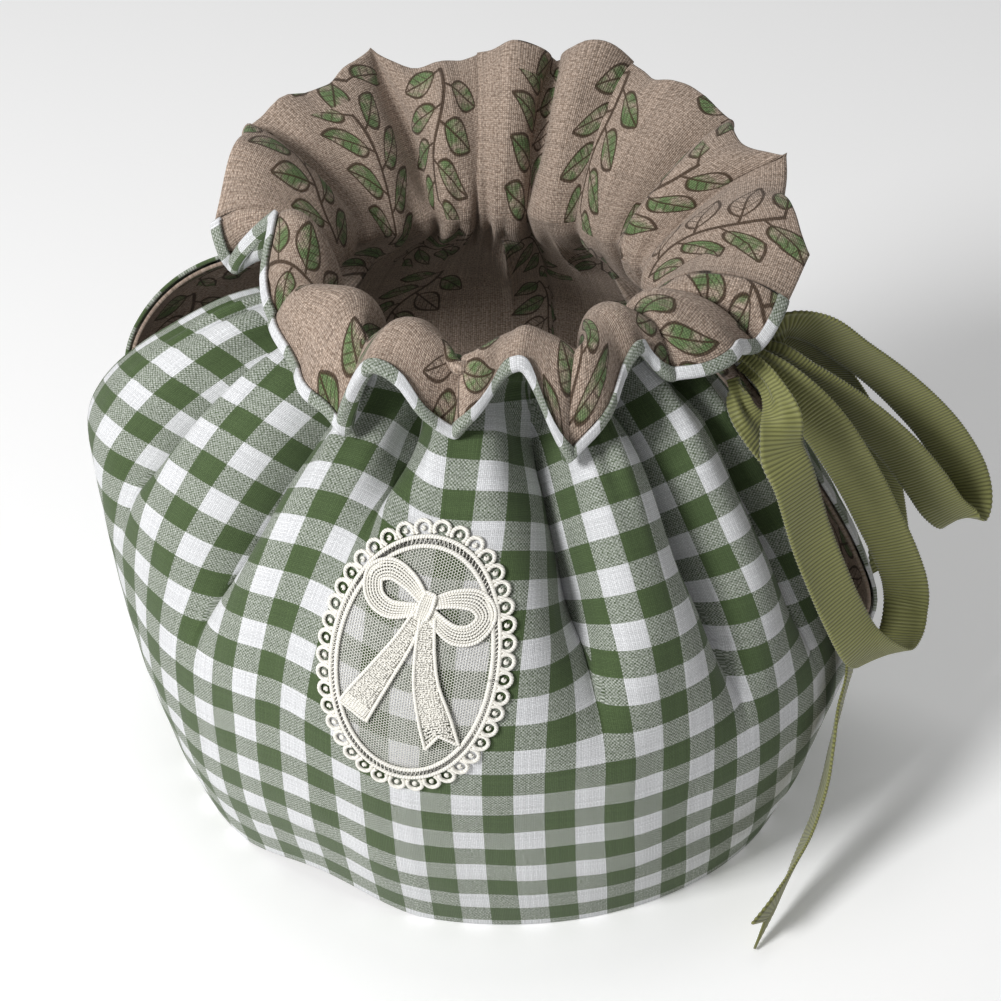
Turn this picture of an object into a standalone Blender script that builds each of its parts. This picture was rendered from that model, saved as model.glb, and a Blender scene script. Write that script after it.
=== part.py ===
"""Tea cosy: two gingham panels with a leaf-printed linen lining, drawn in at the neck to a frill.

The cosy is hollow and stands on its hem. Everything is in metres, +Z up. The lace medallion faces
-Y, the slit for the handle and the ribbon are at +X, and the slit for the spout is at -X. Tables
are measured from the floor under the middle of the neck, and angles are in degrees from +X, turning
towards +Y, so the front is at -90. FROM_NECK then moves every point, so that the origin lies under
the middle of the whole object, ribbon and all.

Both cloths follow one reference surface. It runs up a meridian through STATIONS (hem to neck),
then over the frill to its rim, and goes round through the FRONT_LINES and BACK_LINES, one row for
each fold. The gingham lies just outside the reference surface and the linen just inside it.
"""
import math

import bmesh
import bpy
import numpy as np

MM = 0.001  # tables below are in millimetres

# ---------------------------------------------------------------- driving dimensions (metres)
FROM_NECK = (-0.00996, 0.00132, 0.0)
CLOTH_THICKNESS = 0.0010
HALF_GAP = 0.0002            # from the reference surface to each cloth
SEAM_HALF_GAP = 0.0002       # between the panels at the side seams
HEM_TURN_ROWS = 2            # rows of the outer cloth that are turned up and double
LINING_FIRST_ROW = 3         # the linen starts above the turned hem
MITRE_LIMIT = 1.4

SPOUT_ANGLE = 180.0
HANDLE_ANGLE = 0.0
FRONT, BACK = -1.0, 1.0       # the side of the seams that a panel lies on
SPOUT_SPREAD = 30.0          # degrees over which the spout pushes the cloth out
HANDLE_SPREAD = 24.0
LIP_SPREAD = 13.0
SLIT_SPREAD = 42.0           # degrees over which the folds make way for a slit

MEDALLION_WIDTH = 0.039
MEDALLION_HEIGHT = 0.0575
MEDALLION_ANGLE = -91.0
MEDALLION_STATION = 5.85
MEDALLION_LEAN = 5.0
MEDALLION_SCALLOPS = 40
NET_THICKNESS = 0.0010
MEDALLION_STANDOFF = 0.0008  # clears the flats of the faceted panel under it
BORDER_RISE = 0.0007
BOW_THICKNESS = 0.0010
BOW_STANDOFF = 0.0005        # clears the flats of the faceted net

RIBBON_WIDTH = 0.0095
RIBBON_THICKNESS = 0.0010

# ---------------------------------------------------------------- meridians (millimetres)
# One row for each station up the cloth: radius and height of the plain body, of the meridian
# over the spout and of the meridian over the handle, then half the width of each slit, how far
# the back edge of the handle's slit stands out past its front edge, and how much broader the
# body is from side to side than from front to back.
STATIONS = (
    (62.5, 0.0, 69.5, 0.0, 69.0, 0.0, 0.0, 0.0, 0.0, 6.3),
    (66.0, 12.5, 75.3, 14.0, 73.0, 12.0, 0.0, 0.0, 0.0, 6.3),
    (69.5, 26.0, 79.3, 29.0, 76.5, 24.0, 0.0, 0.0, 0.0, 5.6),
    (72.0, 39.5, 82.0, 44.0, 79.6, 35.5, 0.0, 0.6, 0.5, 4.3),
    (72.7, 53.0, 84.0, 58.0, 78.5, 47.0, 3.0, 4.0, 6.0, 2.6),
    (71.2, 65.5, 86.0, 71.5, 74.0, 59.5, 7.0, 4.6, 6.5, 1.2),
    (67.3, 77.8, 86.5, 84.5, 69.5, 71.5, 9.5, 5.0, 4.5, 0.4),
    (61.2, 87.6, 82.5, 94.5, 64.5, 83.0, 10.0, 5.2, 2.0, 0.0),
    (53.7, 96.1, 75.5, 103.3, 58.5, 94.0, 10.0, 5.4, 0.5, 0.0),
    (45.8, 104.0, 66.0, 110.5, 51.5, 104.0, 9.0, 5.0, 0.0, 0.0),
    (39.0, 110.5, 54.5, 116.3, 44.0, 111.5, 6.5, 3.6, 0.0, 0.0),
    (34.8, 115.6, 42.0, 118.0, 37.0, 116.5, 2.5, 1.2, 0.0, 0.0),
    (33.5, 119.5, 34.5, 120.5, 33.5, 120.0, 0.0, 0.0, 0.0, 0.0),
)
BODY_R, BODY_Z, SPOUT_R, SPOUT_Z, HANDLE_R, HANDLE_Z = range(6)
SPOUT_SLIT, HANDLE_SLIT, BACK_LIP, BREADTH = range(6, 10)
NECK = len(STATIONS) - 1

# ---------------------------------------------------------------- folds
# One row for each line that runs up the cloth: kind (inner crease -1, seam 0, outer puff +1), its
# angle at the belly, at the neck and at the rim of the frill, the rim's radius and height, the
# height of the frill's crest, how deep the fold is on the body, and the station it fades out at.
LINE_COLUMNS = ("kind", "belly", "neck", "rim", "rim_r", "rim_z", "crest_z", "depth", "foot")
FRONT_LINES = (
    (0, -180.0, -180.0, -177.0, 57.5, 132.0, 133.0, 0.0, 11.0),
    (1, -169.0, -171.0, -173.0, 56.0, 124.0, 131.0, 1.0, 8.0),
    (-1, -158.0, -157.0, -163.0, 42.8, 139.0, 135.5, 3.5, 4.5),
    (1, -146.0, -145.0, -147.0, 48.5, 124.0, 132.0, 2.5, 6.0),
    (-1, -134.0, -131.0, -132.0, 46.5, 118.5, 131.0, 5.0, 4.0),
    (1, -119.0, -117.0, -115.0, 48.5, 112.5, 130.0, 3.0, 6.0),
    (-1, -106.0, -102.0, -107.5, 44.0, 126.5, 131.0, 4.0, 7.0),
    (1, -88.0, -87.0, -88.0, 43.5, 114.5, 130.0, 3.0, 6.0),
    (-1, -59.0, -62.0, -70.6, 39.6, 128.8, 129.6, 6.0, 3.8),
    (1, -48.0, -49.0, -60.0, 49.0, 111.5, 130.0, 3.0, 6.0),
    (-1, -33.0, -35.0, -33.0, 40.5, 125.0, 130.0, 6.0, 3.4),
    (1, -24.0, -24.0, -26.0, 45.5, 117.0, 129.0, 3.0, 6.0),
    (-1, -14.0, -12.5, -13.0, 51.0, 119.5, 128.0, 5.0, 3.6),
    (1, -6.0, -5.5, -5.0, 57.0, 117.5, 127.5, 1.0, 8.0),
    (0, 0.0, 0.0, 1.0, 59.0, 124.5, 129.0, 0.0, 11.0),
)
BACK_LINES = (
    (0, 0.0, 0.0, 1.0, 59.0, 124.5, 129.0, 0.0, 11.0),
    (1, 8.0, 8.0, 8.5, 62.0, 131.0, 131.5, 1.0, 8.0),
    (-1, 17.0, 18.0, 18.0, 59.5, 135.5, 132.0, 4.5, 5.0),
    (1, 28.0, 28.0, 30.0, 62.5, 141.5, 133.0, 3.0, 6.0),
    (-1, 38.0, 38.0, 38.5, 56.0, 140.0, 133.0, 4.0, 6.0),
    (1, 47.0, 47.0, 46.0, 60.0, 142.0, 134.0, 3.0, 6.0),
    (-1, 60.0, 58.0, 60.0, 57.5, 143.0, 133.0, 5.0, 4.5),
    (1, 72.0, 69.0, 74.0, 61.0, 142.5, 134.0, 3.0, 7.0),
    (-1, 81.0, 79.0, 81.5, 57.5, 147.0, 136.0, 4.0, 7.0),
    (1, 90.0, 88.0, 88.0, 59.5, 143.0, 134.0, 3.0, 7.0),
    (-1, 98.0, 97.0, 97.0, 55.0, 146.5, 136.0, 5.0, 5.0),
    (1, 107.0, 106.0, 104.5, 59.5, 143.0, 134.0, 3.0, 7.0),
    (-1, 116.0, 115.0, 113.5, 54.5, 142.0, 134.0, 4.0, 7.0),
    (1, 127.0, 125.0, 126.0, 63.5, 145.0, 134.0, 3.0, 7.0),
    (-1, 140.0, 139.0, 139.0, 58.5, 142.5, 133.0, 5.0, 5.0),
    (1, 154.0, 155.0, 159.0, 60.5, 141.0, 134.0, 2.5, 7.0),
    (-1, 167.0, 167.0, 172.0, 55.0, 144.0, 135.0, 3.0, 7.0),
    (0, 180.0, 180.0, 183.0, 57.5, 132.0, 133.0, 0.0, 11.0),
)
# Where the hem is pulled up off the floor: angle, half width in degrees, lift in millimetres.
HEM_LIFTS = ((-113.0, 24.0, 5.6), (58.0, 14.0, 1.4), (138.0, 12.0, 1.8))

BODY_ROWS = (0.0, 0.20, 0.27, 0.36, 1.6, 3.0, 4.2, 5.3, 6.3, 7.3, 8.2, 9.1, 10.0, 10.8, 11.5, 12.0)
FRILL_ROWS = (0.16, 0.32, 0.47, 0.61, 0.74, 0.87, 1.0)
FRONT_STEPS = 3              # columns between two fold lines
BACK_STEPS = 2

# ---------------------------------------------------------------- ribbon routes (millimetres)
# Each row is a point on the middle of the ribbon, the direction across it and the share of its
# width that lies open there: it is gathered where it leaves the knot.
FRONT_LOOP = (
    (52.8, -5.0, 114.2, 0.0, 0.1, 1.0, 0.5),
    (58.6, -9.2, 111.9, 0.2, 0.1, 0.97, 0.55),
    (62.2, -15.0, 108.2, 0.5, 0.5, 0.7, 0.8),
    (63.4, -18.8, 102.0, 0.55, 0.75, 0.4, 1.0),
    (66.6, -20.6, 96.1, 0.6, 0.74, 0.34, 1.0),
    (70.6, -20.9, 83.7, 0.62, 0.72, 0.3, 1.0),
    (74.3, -21.5, 75.0, 0.62, 0.72, 0.3, 1.0),
    (79.1, -21.6, 64.8, 0.64, 0.7, 0.3, 1.0),
    (84.0, -19.8, 55.0, 0.72, 0.62, 0.25, 1.0),
    (88.7, -12.6, 48.2, 0.86, 0.4, 0.2, 1.0),
    (91.2, -4.2, 47.2, 0.94, 0.05, 0.3, 1.0),
    (91.6, 0.9, 50.7, 0.92, -0.15, 0.38, 1.0),
    (90.7, 1.5, 57.0, 0.9, -0.12, 0.4, 1.0),
    (87.8, 1.0, 64.9, 0.9, -0.06, 0.42, 1.0),
    (83.8, 0.4, 73.5, 0.86, 0.0, 0.5, 1.0),
    (79.2, -1.0, 83.5, 0.8, 0.05, 0.58, 1.0),
    (72.4, -3.2, 96.0, 0.7, 0.1, 0.68, 1.0),
    (66.4, -4.0, 104.0, 0.5, 0.3, 0.8, 0.9),
    (60.0, -3.4, 110.2, 0.3, 0.15, 0.93, 0.7),
    (52.8, -2.4, 113.8, 0.0, 0.05, 1.0, 0.55),
)
BACK_LOOP = (
    (53.1, 2.6, 113.4, 0.0, 0.0, 1.0, 0.55),
    (57.8, 4.0, 115.6, 0.0, -0.1, 1.0, 0.7),
    (61.6, 5.8, 116.6, 0.25, -0.25, 0.93, 0.85),
    (67.0, 8.8, 114.0, 0.5, -0.28, 0.8, 1.0),
    (73.5, 12.8, 107.2, 0.65, -0.28, 0.7, 1.0),
    (81.0, 17.0, 99.2, 0.7, -0.22, 0.65, 1.0),
    (88.0, 20.0, 91.0, 0.75, -0.1, 0.6, 1.0),
    (94.5, 22.5, 82.2, 0.85, 0.0, 0.5, 1.0),
    (100.0, 24.0, 72.5, 0.88, 0.05, 0.45, 1.0),
    (102.2, 22.5, 66.0, 0.9, 0.1, 0.4, 1.0),
    (101.2, 18.5, 63.4, 0.9, 0.15, 0.35, 1.0),
    (97.0, 15.6, 67.5, 0.88, 0.05, 0.45, 1.0),
    (92.0, 13.8, 75.4, 0.85, 0.0, 0.5, 1.0),
    (86.0, 11.8, 84.0, 0.8, -0.1, 0.55, 1.0),
    (79.0, 9.2, 92.2, 0.72, -0.18, 0.65, 1.0),
    (71.6, 6.0, 99.8, 0.6, -0.25, 0.75, 1.0),
    (64.8, 2.9, 106.4, 0.35, -0.2, 0.9, 0.8),
    (59.0, 1.2, 111.4, 0.1, -0.1, 0.97, 0.65),
    (52.8, 0.3, 112.6, 0.0, 0.0, 1.0, 0.5),
)
LONG_TAIL = (
    (51.4, -7.6, 110.7, 0.0, 0.1, 1.0, 0.4),
    (54.0, -11.0, 105.6, 0.2, 0.75, 0.6, 0.55),
    (57.4, -12.0, 101.6, 0.25, 0.85, 0.4, 0.8),
    (61.6, -11.6, 96.0, 0.2, 0.93, 0.25, 1.0),
    (67.2, -10.2, 86.0, 0.15, 0.98, 0.1, 1.0),
    (72.0, -9.2, 75.0, 0.13, 0.99, 0.05, 1.0),
    (77.0, -9.0, 64.0, 0.13, 0.99, 0.0, 1.0),
    (81.0, -9.6, 54.4, 0.13, 0.99, -0.05, 1.0),
    (81.6, -13.6, 45.4, 0.14, 0.98, -0.1, 1.0),
    (80.4, -19.8, 38.4, 0.08, 0.94, -0.32, 1.0),
    (79.9, -25.4, 32.2, -0.08, 0.84, -0.55, 1.0),
    (79.5, -29.2, 25.2, -0.15, 0.78, -0.6, 1.0),
    (78.4, -33.2, 18.5, -0.15, 0.78, -0.6, 1.0),
    (76.7, -37.7, 13.5, -0.15, 0.77, -0.62, 1.0),
    (74.5, -44.5, 9.8, -0.02, 0.75, -0.66, 1.0),
    (72.6, -50.3, 7.6, 0.11, 0.69, -0.7, 1.0),
    (70.7, -55.3, 6.3, 0.16, 0.4, -0.9, 1.0),
)
SHORT_TAIL = (
    (51.7, 5.2, 111.8, 0.0, -0.05, 1.0, 0.45),
    (57.4, 9.0, 110.6, 0.1, -0.2, 0.95, 0.7),
    (62.2, 13.8, 106.4, 0.2, -0.35, 0.87, 0.9),
    (67.8, 19.2, 98.6, 0.35, -0.4, 0.8, 1.0),
    (73.8, 23.2, 88.8, 0.45, -0.45, 0.7, 1.0),
    (79.0, 25.2, 78.0, 0.6, -0.4, 0.55, 1.0),
    (82.4, 27.5, 65.0, 0.75, -0.3, 0.4, 1.0),
    (85.0, 28.8, 52.0, 0.85, -0.25, 0.3, 1.0),
    (87.0, 29.5, 40.0, 0.88, -0.2, 0.25, 1.0),
)
KNOT_CENTRE = (48.3 * MM, -0.6 * MM, 114.0 * MM)
KNOT_SIZE = (9.2 * MM, 18.0 * MM, 8.0 * MM)
TAIL_NOTCH = 4.5 * MM

# Embroidered bow, in millimetres across and up from the middle of the medallion: the route of
# each ribbon of the bow and its width.
BOW_LOOP = ((3.4, 12.0, 2.4), (6.0, 14.4, 2.7), (8.8, 14.4, 2.7), (10.2, 12.0, 2.7),
            (9.2, 8.8, 2.7), (6.4, 7.6, 2.7), (3.6, 9.0, 2.2))
BOW_TAIL = ((1.7, 7.0, 2.4), (2.8, 2.6, 3.6), (4.6, -3.4, 4.4), (6.4, -9.0, 4.8), (7.4, -13.6, 5.0))
BOW_KNOT = (3.0, 2.6)
BOW_CENTRE_UP = 10.6


# ---------------------------------------------------------------- small helpers
def clear_scene():
    for obj in list(bpy.data.objects):
        bpy.data.objects.remove(obj, do_unlink=True)


def smooth(value):
    """Rise from 0 to 1 with flat ends."""
    value = np.clip(value, 0.0, 1.0)
    return value * value * (3.0 - 2.0 * value)


def through(table, position):
    """Read a smooth (Catmull-Rom) curve through the rows of a table at a position in rows."""
    rows = np.asarray(table, float)
    position = np.clip(np.asarray(position, float), 0.0, len(rows) - 1.0)
    start = np.minimum(position.astype(int), len(rows) - 2)
    x = (position - start)[..., None]
    before = rows[np.maximum(start - 1, 0)]
    after = rows[np.minimum(start + 2, len(rows) - 1)]
    first, second = rows[start], rows[start + 1]
    return 0.5 * (2.0 * first + (second - before) * x
                  + (2.0 * before - 5.0 * first + 4.0 * second - after) * x ** 2
                  + (3.0 * first - before - 3.0 * second + after) * x ** 3)


def unit(vectors):
    return vectors / np.maximum(np.linalg.norm(vectors, axis=-1, keepdims=True), 1e-12)


def angle_from(angle, centre):
    """Signed angle from a centre line, in degrees from -180 to 180."""
    return (np.asarray(angle) - centre + 180.0) % 360.0 - 180.0


def make_material(name, colour, roughness):
    material = bpy.data.materials.new(name)
    material.use_nodes = True
    shader = material.node_tree.nodes["Principled BSDF"]
    shader.inputs["Base Color"].default_value = (*colour, 1.0)
    shader.inputs["Roughness"].default_value = roughness
    shader.inputs["Metallic"].default_value = 0.0
    material.diffuse_color = (*colour, 1.0)
    return material


def add_object(name, points, faces, material, collection):
    mesh = bpy.data.meshes.new(name)
    mesh.from_pydata([tuple(point) for point in np.asarray(points) + FROM_NECK], [], faces)
    mesh.materials.append(material)
    mesh.shade_smooth()
    mesh.set_sharp_from_angle(angle=math.radians(50.0))
    obj = bpy.data.objects.new(name, mesh)
    collection.objects.link(obj)
    return obj


# ---------------------------------------------------------------- the reference surface
def bulge(angle, centre, spread):
    return np.exp(-(angle_from(angle, centre) / spread) ** 2)


def medallion_mask(angle, station):
    """1 under the medallion, where its stiff net keeps the folds away, and 0 elsewhere."""
    across = angle_from(angle, MEDALLION_ANGLE) / 22.0
    along = (station - MEDALLION_STATION) / 3.2
    return 1.0 - smooth((np.hypot(across, along) - 0.75) / 0.5)


def hem_lift(angle, station):
    lift = np.zeros_like(np.asarray(angle, float))
    for centre, half_width, height in HEM_LIFTS:
        near = 1.0 - np.abs(angle_from(angle, centre)) / half_width
        lift = lift + height * smooth(near) * smooth(1.0 - station / 2.5)
    return lift


def body_meridian(angle, station, side):
    """Radius and height of the unfolded body, in millimetres, on the FRONT or BACK side."""
    rows = through(STATIONS, station)
    sideways = np.cos(np.radians(angle)) ** 2
    body_r = rows[..., BODY_R] + rows[..., BREADTH] * sideways
    body_z = rows[..., BODY_Z]
    spout = bulge(angle, SPOUT_ANGLE, SPOUT_SPREAD)
    handle = bulge(angle, HANDLE_ANGLE, HANDLE_SPREAD)
    radius = body_r + spout * (rows[..., SPOUT_R] - body_r) + handle * (rows[..., HANDLE_R] - body_r)
    height = body_z + spout * (rows[..., SPOUT_Z] - body_z) + handle * (rows[..., HANDLE_Z] - body_z)
    lip = bulge(angle, HANDLE_ANGLE, LIP_SPREAD) * (side == BACK)
    return radius + lip * rows[..., BACK_LIP], height + hem_lift(angle, station)


def slit_shift(angle, station, side):
    """How far a panel's cloth is turned away from the two slits, in degrees."""
    rows = through(STATIONS, np.minimum(station, NECK))
    radius = rows[..., BODY_R]
    shift = np.zeros_like(np.asarray(angle, float))
    for centre, column in ((SPOUT_ANGLE, SPOUT_SLIT), (HANDLE_ANGLE, HANDLE_SLIT)):
        half_angle = np.degrees(np.maximum(rows[..., column], 0.0) / np.maximum(radius, 30.0))
        reach = np.clip(1.0 - np.abs(angle_from(angle, centre)) / SLIT_SPREAD, 0.0, 1.0) ** 2
        shift = shift + np.sign(angle_from(side * 90.0, centre)) * half_angle * reach
    return shift


def blend_lines(lines, column, position, eased=True):
    """Read one column of a fold table between its rows."""
    values = np.array([row[LINE_COLUMNS.index(column)] for row in lines], float)
    start = np.clip(np.floor(position).astype(int), 0, len(values) - 2)
    x = position - start
    if eased:
        x = 0.5 - 0.5 * np.cos(math.pi * x)
    return values[start] + (values[start + 1] - values[start]) * x


def fold_depth(lines, position, station):
    """Outward displacement of the folds on the body: sharp creases between rounded puffs."""
    table = {name: np.array([row[k] for row in lines], float) for k, name in enumerate(LINE_COLUMNS)}
    start = np.clip(np.floor(position).astype(int), 0, len(lines) - 2)
    x = position - start
    ends = []
    for index in (start, start + 1):
        swell = smooth((station - table["foot"][index]) / 3.5) * (1.0 - 0.75 * smooth((station - 9.3) / 2.2))
        share = np.where(table["kind"][index] > 0, 0.4, -1.0)
        ends.append(share * table["depth"][index] * swell)
    from_crease = table["kind"][start] < table["kind"][start + 1]
    rise = np.where(from_crease, x, 1.0 - x)
    rise = np.sin(0.5 * math.pi * rise) ** 0.85
    rise = np.where(from_crease, rise, 1.0 - rise)
    return ends[0] + (ends[1] - ends[0]) * rise


def surface(lines, position, level):
    """Point of the reference surface, in metres.

    position counts fold lines round the cosy. level counts stations from the hem to the neck, and
    its part above the neck is the way over the frill, 0 to 1.
    """
    position, level = np.broadcast_arrays(np.asarray(position, float), np.asarray(level, float))
    station = np.minimum(level, NECK)
    over = np.clip(level - NECK, 0.0, 1.0)
    climb = smooth((station - 4.0) / 8.0)
    belly = blend_lines(lines, "belly", position, eased=False)
    neck = blend_lines(lines, "neck", position, eased=False)
    rim = blend_lines(lines, "rim", position, eased=False)
    angle = belly + (neck - belly) * climb

    side = np.sign(lines[0][1] + lines[-1][1])
    radius, height = body_meridian(angle, station, side)
    step = 0.02
    low_r, low_z = body_meridian(angle, station - step, side)
    high_r, high_z = body_meridian(angle, station + step, side)
    along_r, along_z = high_r - low_r, high_z - low_z
    length = np.maximum(np.hypot(along_r, along_z), 1e-9)
    depth = fold_depth(lines, position, station) * (1.0 - medallion_mask(angle, station))
    radius = radius + depth * along_z / length
    height = height - depth * along_r / length

    rim_r = blend_lines(lines, "rim_r", position)
    rim_z = blend_lines(lines, "rim_z", position)
    crest = blend_lines(lines, "crest_z", position)
    reach = rim_r - radius
    middle = (8.0 * crest - height - rim_z) / 6.0
    stand = 6.0 * np.clip((rim_z - 120.0) / 22.0, 0.0, 1.0)
    keep = 1.0 - over
    frill_r = (keep ** 3 * radius + 3.0 * keep ** 2 * over * (radius + 0.06 * reach)
               + 3.0 * keep * over ** 2 * (rim_r - 0.38 * reach) + over ** 3 * rim_r)
    frill_z = (keep ** 3 * height + 3.0 * keep ** 2 * over * (middle - stand)
               + 3.0 * keep * over ** 2 * (middle + stand) + over ** 3 * rim_z)
    turned = angle + slit_shift(angle, station, side) * (over <= 0.0)
    turned = turned + (rim - neck) * smooth(over)
    theta = np.radians(turned)
    return np.stack([frill_r * np.cos(theta), frill_r * np.sin(theta), frill_z], axis=-1) * MM


# ---------------------------------------------------------------- cloth panels
def mitred_normals(grid):
    """Normal of each grid point, lengthened so that an offset keeps its thickness at a fold."""
    a, b = grid[:-1, :-1], grid[:-1, 1:]
    c, d = grid[1:, 1:], grid[1:, :-1]
    facets = np.stack([unit(np.cross(b - a, d - a)), unit(np.cross(c - b, a - b)),
                       unit(np.cross(d - c, b - c)), unit(np.cross(a - d, c - d))])
    total = np.zeros_like(grid)
    corners = ((0, 0), (0, 1), (1, 1), (1, 0))
    rows, columns = grid.shape[0] - 1, grid.shape[1] - 1
    for facet, (i, j) in zip(facets, corners):
        total[i:i + rows, j:j + columns] += facet
    normal = unit(total)
    least = np.ones(grid.shape[:2])
    for facet, (i, j) in zip(facets, corners):
        part = least[i:i + rows, j:j + columns]
        cosine = np.sum(facet * normal[i:i + rows, j:j + columns], axis=-1)
        np.minimum(part, np.maximum(cosine, 1.0 / MITRE_LIMIT), out=part)
    return normal, 1.0 / least


def panel_grid(lines, steps):
    """Reference points of a panel, row by row, with its two side edges on the seams."""
    positions = np.linspace(0.0, len(lines) - 1.0, (len(lines) - 1) * steps + 1)
    levels = np.array(BODY_ROWS + tuple(NECK + row for row in FRILL_ROWS))
    grid = surface(lines, positions[None, :], levels[:, None])
    for column, inward in ((0, 1.0), (-1, -1.0)):
        edge = grid[:, column]
        across = unit(np.stack([-edge[:, 1], edge[:, 0], np.zeros(len(edge))], axis=-1))
        grid[:, column] = edge + across * inward * SEAM_HALF_GAP
    return grid


def panel_normals(grid):
    normal, stretch = mitred_normals(grid)
    for column in (0, -1):
        edge = grid[:, column]
        across = unit(np.stack([-edge[:, 1], edge[:, 0], np.zeros(len(edge))], axis=-1))
        side = normal[:, column]
        side = side - across * np.sum(side * across, axis=-1, keepdims=True)
        normal[:, column] = unit(side)
        stretch[:, column] = np.minimum(stretch[:, column], 1.25)
    hem = normal[0] * (1.0, 1.0, 0.0)
    normal[0] = unit(hem)
    return normal * stretch[..., None]


def sheet_faces(rows, columns, reference):
    """Triangles of a closed sheet whose outer points come first and inner points second."""
    def outer(i, j):
        return i * columns + j

    def inner(i, j):
        return rows * columns + i * columns + j

    faces = []
    for i in range(rows - 1):
        for j in range(columns - 1):
            a, b, c, d = (i, j), (i, j + 1), (i + 1, j + 1), (i + 1, j)
            first = np.linalg.norm(reference[a] - reference[c])
            second = np.linalg.norm(reference[b] - reference[d])
            pair = ((a, b, c), (a, c, d)) if first <= second else ((a, b, d), (b, c, d))
            for corners in pair:
                faces.append([outer(*corner) for corner in corners])
                faces.append([inner(*corner) for corner in reversed(corners)])
    loop = [(0, j) for j in range(columns)]
    loop += [(i, columns - 1) for i in range(1, rows)]
    loop += [(rows - 1, j) for j in range(columns - 2, -1, -1)]
    loop += [(i, 0) for i in range(rows - 2, 0, -1)]
    for here, there in zip(loop, loop[1:] + loop[:1]):
        faces.append([outer(*there), outer(*here), inner(*here)])
        faces.append([outer(*there), inner(*here), inner(*there)])
    return faces


def make_sheet(name, reference, outer_points, inner_points, material, collection):
    rows, columns = reference.shape[:2]
    points = np.concatenate([outer_points.reshape(-1, 3), inner_points.reshape(-1, 3)])
    return add_object(name, points, sheet_faces(rows, columns, reference), material, collection)


def make_panels(side, lines, steps, gingham, linen, collection):
    """The gingham panel of one side and the linen behind it."""
    grid = panel_grid(lines, steps)
    normal = panel_normals(grid)
    outer_face = grid + normal * (HALF_GAP + CLOTH_THICKNESS)
    inner_face = grid + normal * HALF_GAP
    turned = slice(0, HEM_TURN_ROWS)
    inner_face[turned] = grid[turned] - normal[turned] * (HALF_GAP + CLOTH_THICKNESS)
    make_sheet("gingham_" + side, grid, outer_face, inner_face, gingham, collection)

    lined = slice(LINING_FIRST_ROW, None)
    near_face = grid[lined] - normal[lined] * HALF_GAP
    far_face = grid[lined] - normal[lined] * (HALF_GAP + CLOTH_THICKNESS)
    make_sheet("lining_" + side, grid[lined], near_face, far_face, linen, collection)


# ---------------------------------------------------------------- lace medallion
def on_front(across, up, stand_off):
    """Point over the front of the cosy, from millimetres across and up the medallion."""
    lean = math.radians(MEDALLION_LEAN)
    side = across * math.cos(lean) + up * math.sin(lean)
    rise = up * math.cos(lean) - across * math.sin(lean)
    stations = np.linspace(2.0, 10.5, 300)
    radius, height = body_meridian(np.full_like(stations, MEDALLION_ANGLE), stations, FRONT)
    run = np.concatenate([[0.0], np.cumsum(np.hypot(np.diff(radius), np.diff(height)))])
    run = run - np.interp(MEDALLION_STATION, stations, run)
    station = np.interp(rise, run, stations)
    angle = MEDALLION_ANGLE + np.degrees(side / np.interp(station, stations, radius))
    r, z = body_meridian(angle, station, FRONT)
    step = 0.05
    low_r, low_z = body_meridian(angle, station - step, FRONT)
    high_r, high_z = body_meridian(angle, station + step, FRONT)
    slope = np.hypot(high_r - low_r, high_z - low_z)
    lift = stand_off / MM
    r = r + lift * (high_z - low_z) / slope
    z = z - lift * (high_r - low_r) / slope
    theta = np.radians(angle)
    return np.stack([r * np.cos(theta), r * np.sin(theta), z], axis=-1) * MM


def make_medallion(material, collection):
    """Oval net with a raised, scalloped border, lying on the front panel."""
    count = MEDALLION_SCALLOPS * 2
    rings = ((0.27, 0.0), (0.54, 0.0), (0.80, 0.0), (0.84, 1.0), (0.92, 1.0), (1.0, 0.3))
    base = HALF_GAP + CLOTH_THICKNESS + MEDALLION_STANDOFF
    turn = np.arange(count) * 2.0 * math.pi / count
    front, back = [], []
    for share, rise in rings:
        scallop = 0.0
        if share == 1.0:
            scallop = np.where(np.arange(count) % 2 == 0, 0.0, -0.055)
        across = 0.5 * MEDALLION_WIDTH / MM * (share + scallop) * np.cos(turn)
        up = 0.5 * MEDALLION_HEIGHT / MM * (share + scallop) * np.sin(turn)
        back.append(on_front(across, up, base))
        front.append(on_front(across, up, base + NET_THICKNESS + rise * BORDER_RISE))
    centre = on_front(np.zeros(1), np.zeros(1), base)
    centre_front = on_front(np.zeros(1), np.zeros(1), base + NET_THICKNESS)
    points = np.concatenate(front + back + [centre_front, centre])
    rings_count = len(rings)
    middle_front = 2 * rings_count * count
    middle_back = middle_front + 1
    faces = []
    for k in range(count):
        after = (k + 1) % count
        faces.append([middle_front, k, after])
        faces.append([middle_back, rings_count * count + after, rings_count * count + k])
        for ring in range(rings_count - 1):
            a, b = ring * count + k, ring * count + after
            c, d = a + count, b + count
            faces.append([a, c, d, b])
            back_shift = rings_count * count
            faces.append([a + back_shift, b + back_shift, d + back_shift, c + back_shift])
        edge, edge_after = (rings_count - 1) * count + k, (rings_count - 1) * count + after
        faces.append([edge, edge + rings_count * count, edge_after + rings_count * count, edge_after])
    return add_object("lace_medallion", points, faces, material, collection)


def strip_outline(route):
    """Left and right edges of a flat ribbon that follows a route of x, y, width rows."""
    fine = through(route, np.linspace(0.0, len(route) - 1.0, (len(route) - 1) * 2 + 1))
    heading = np.gradient(fine[:, :2], axis=0)
    heading = unit(heading)
    across = np.stack([-heading[:, 1], heading[:, 0]], axis=-1)
    half = fine[:, 2:3] * 0.5
    return fine[:, :2] + across * half, fine[:, :2] - across * half


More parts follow.
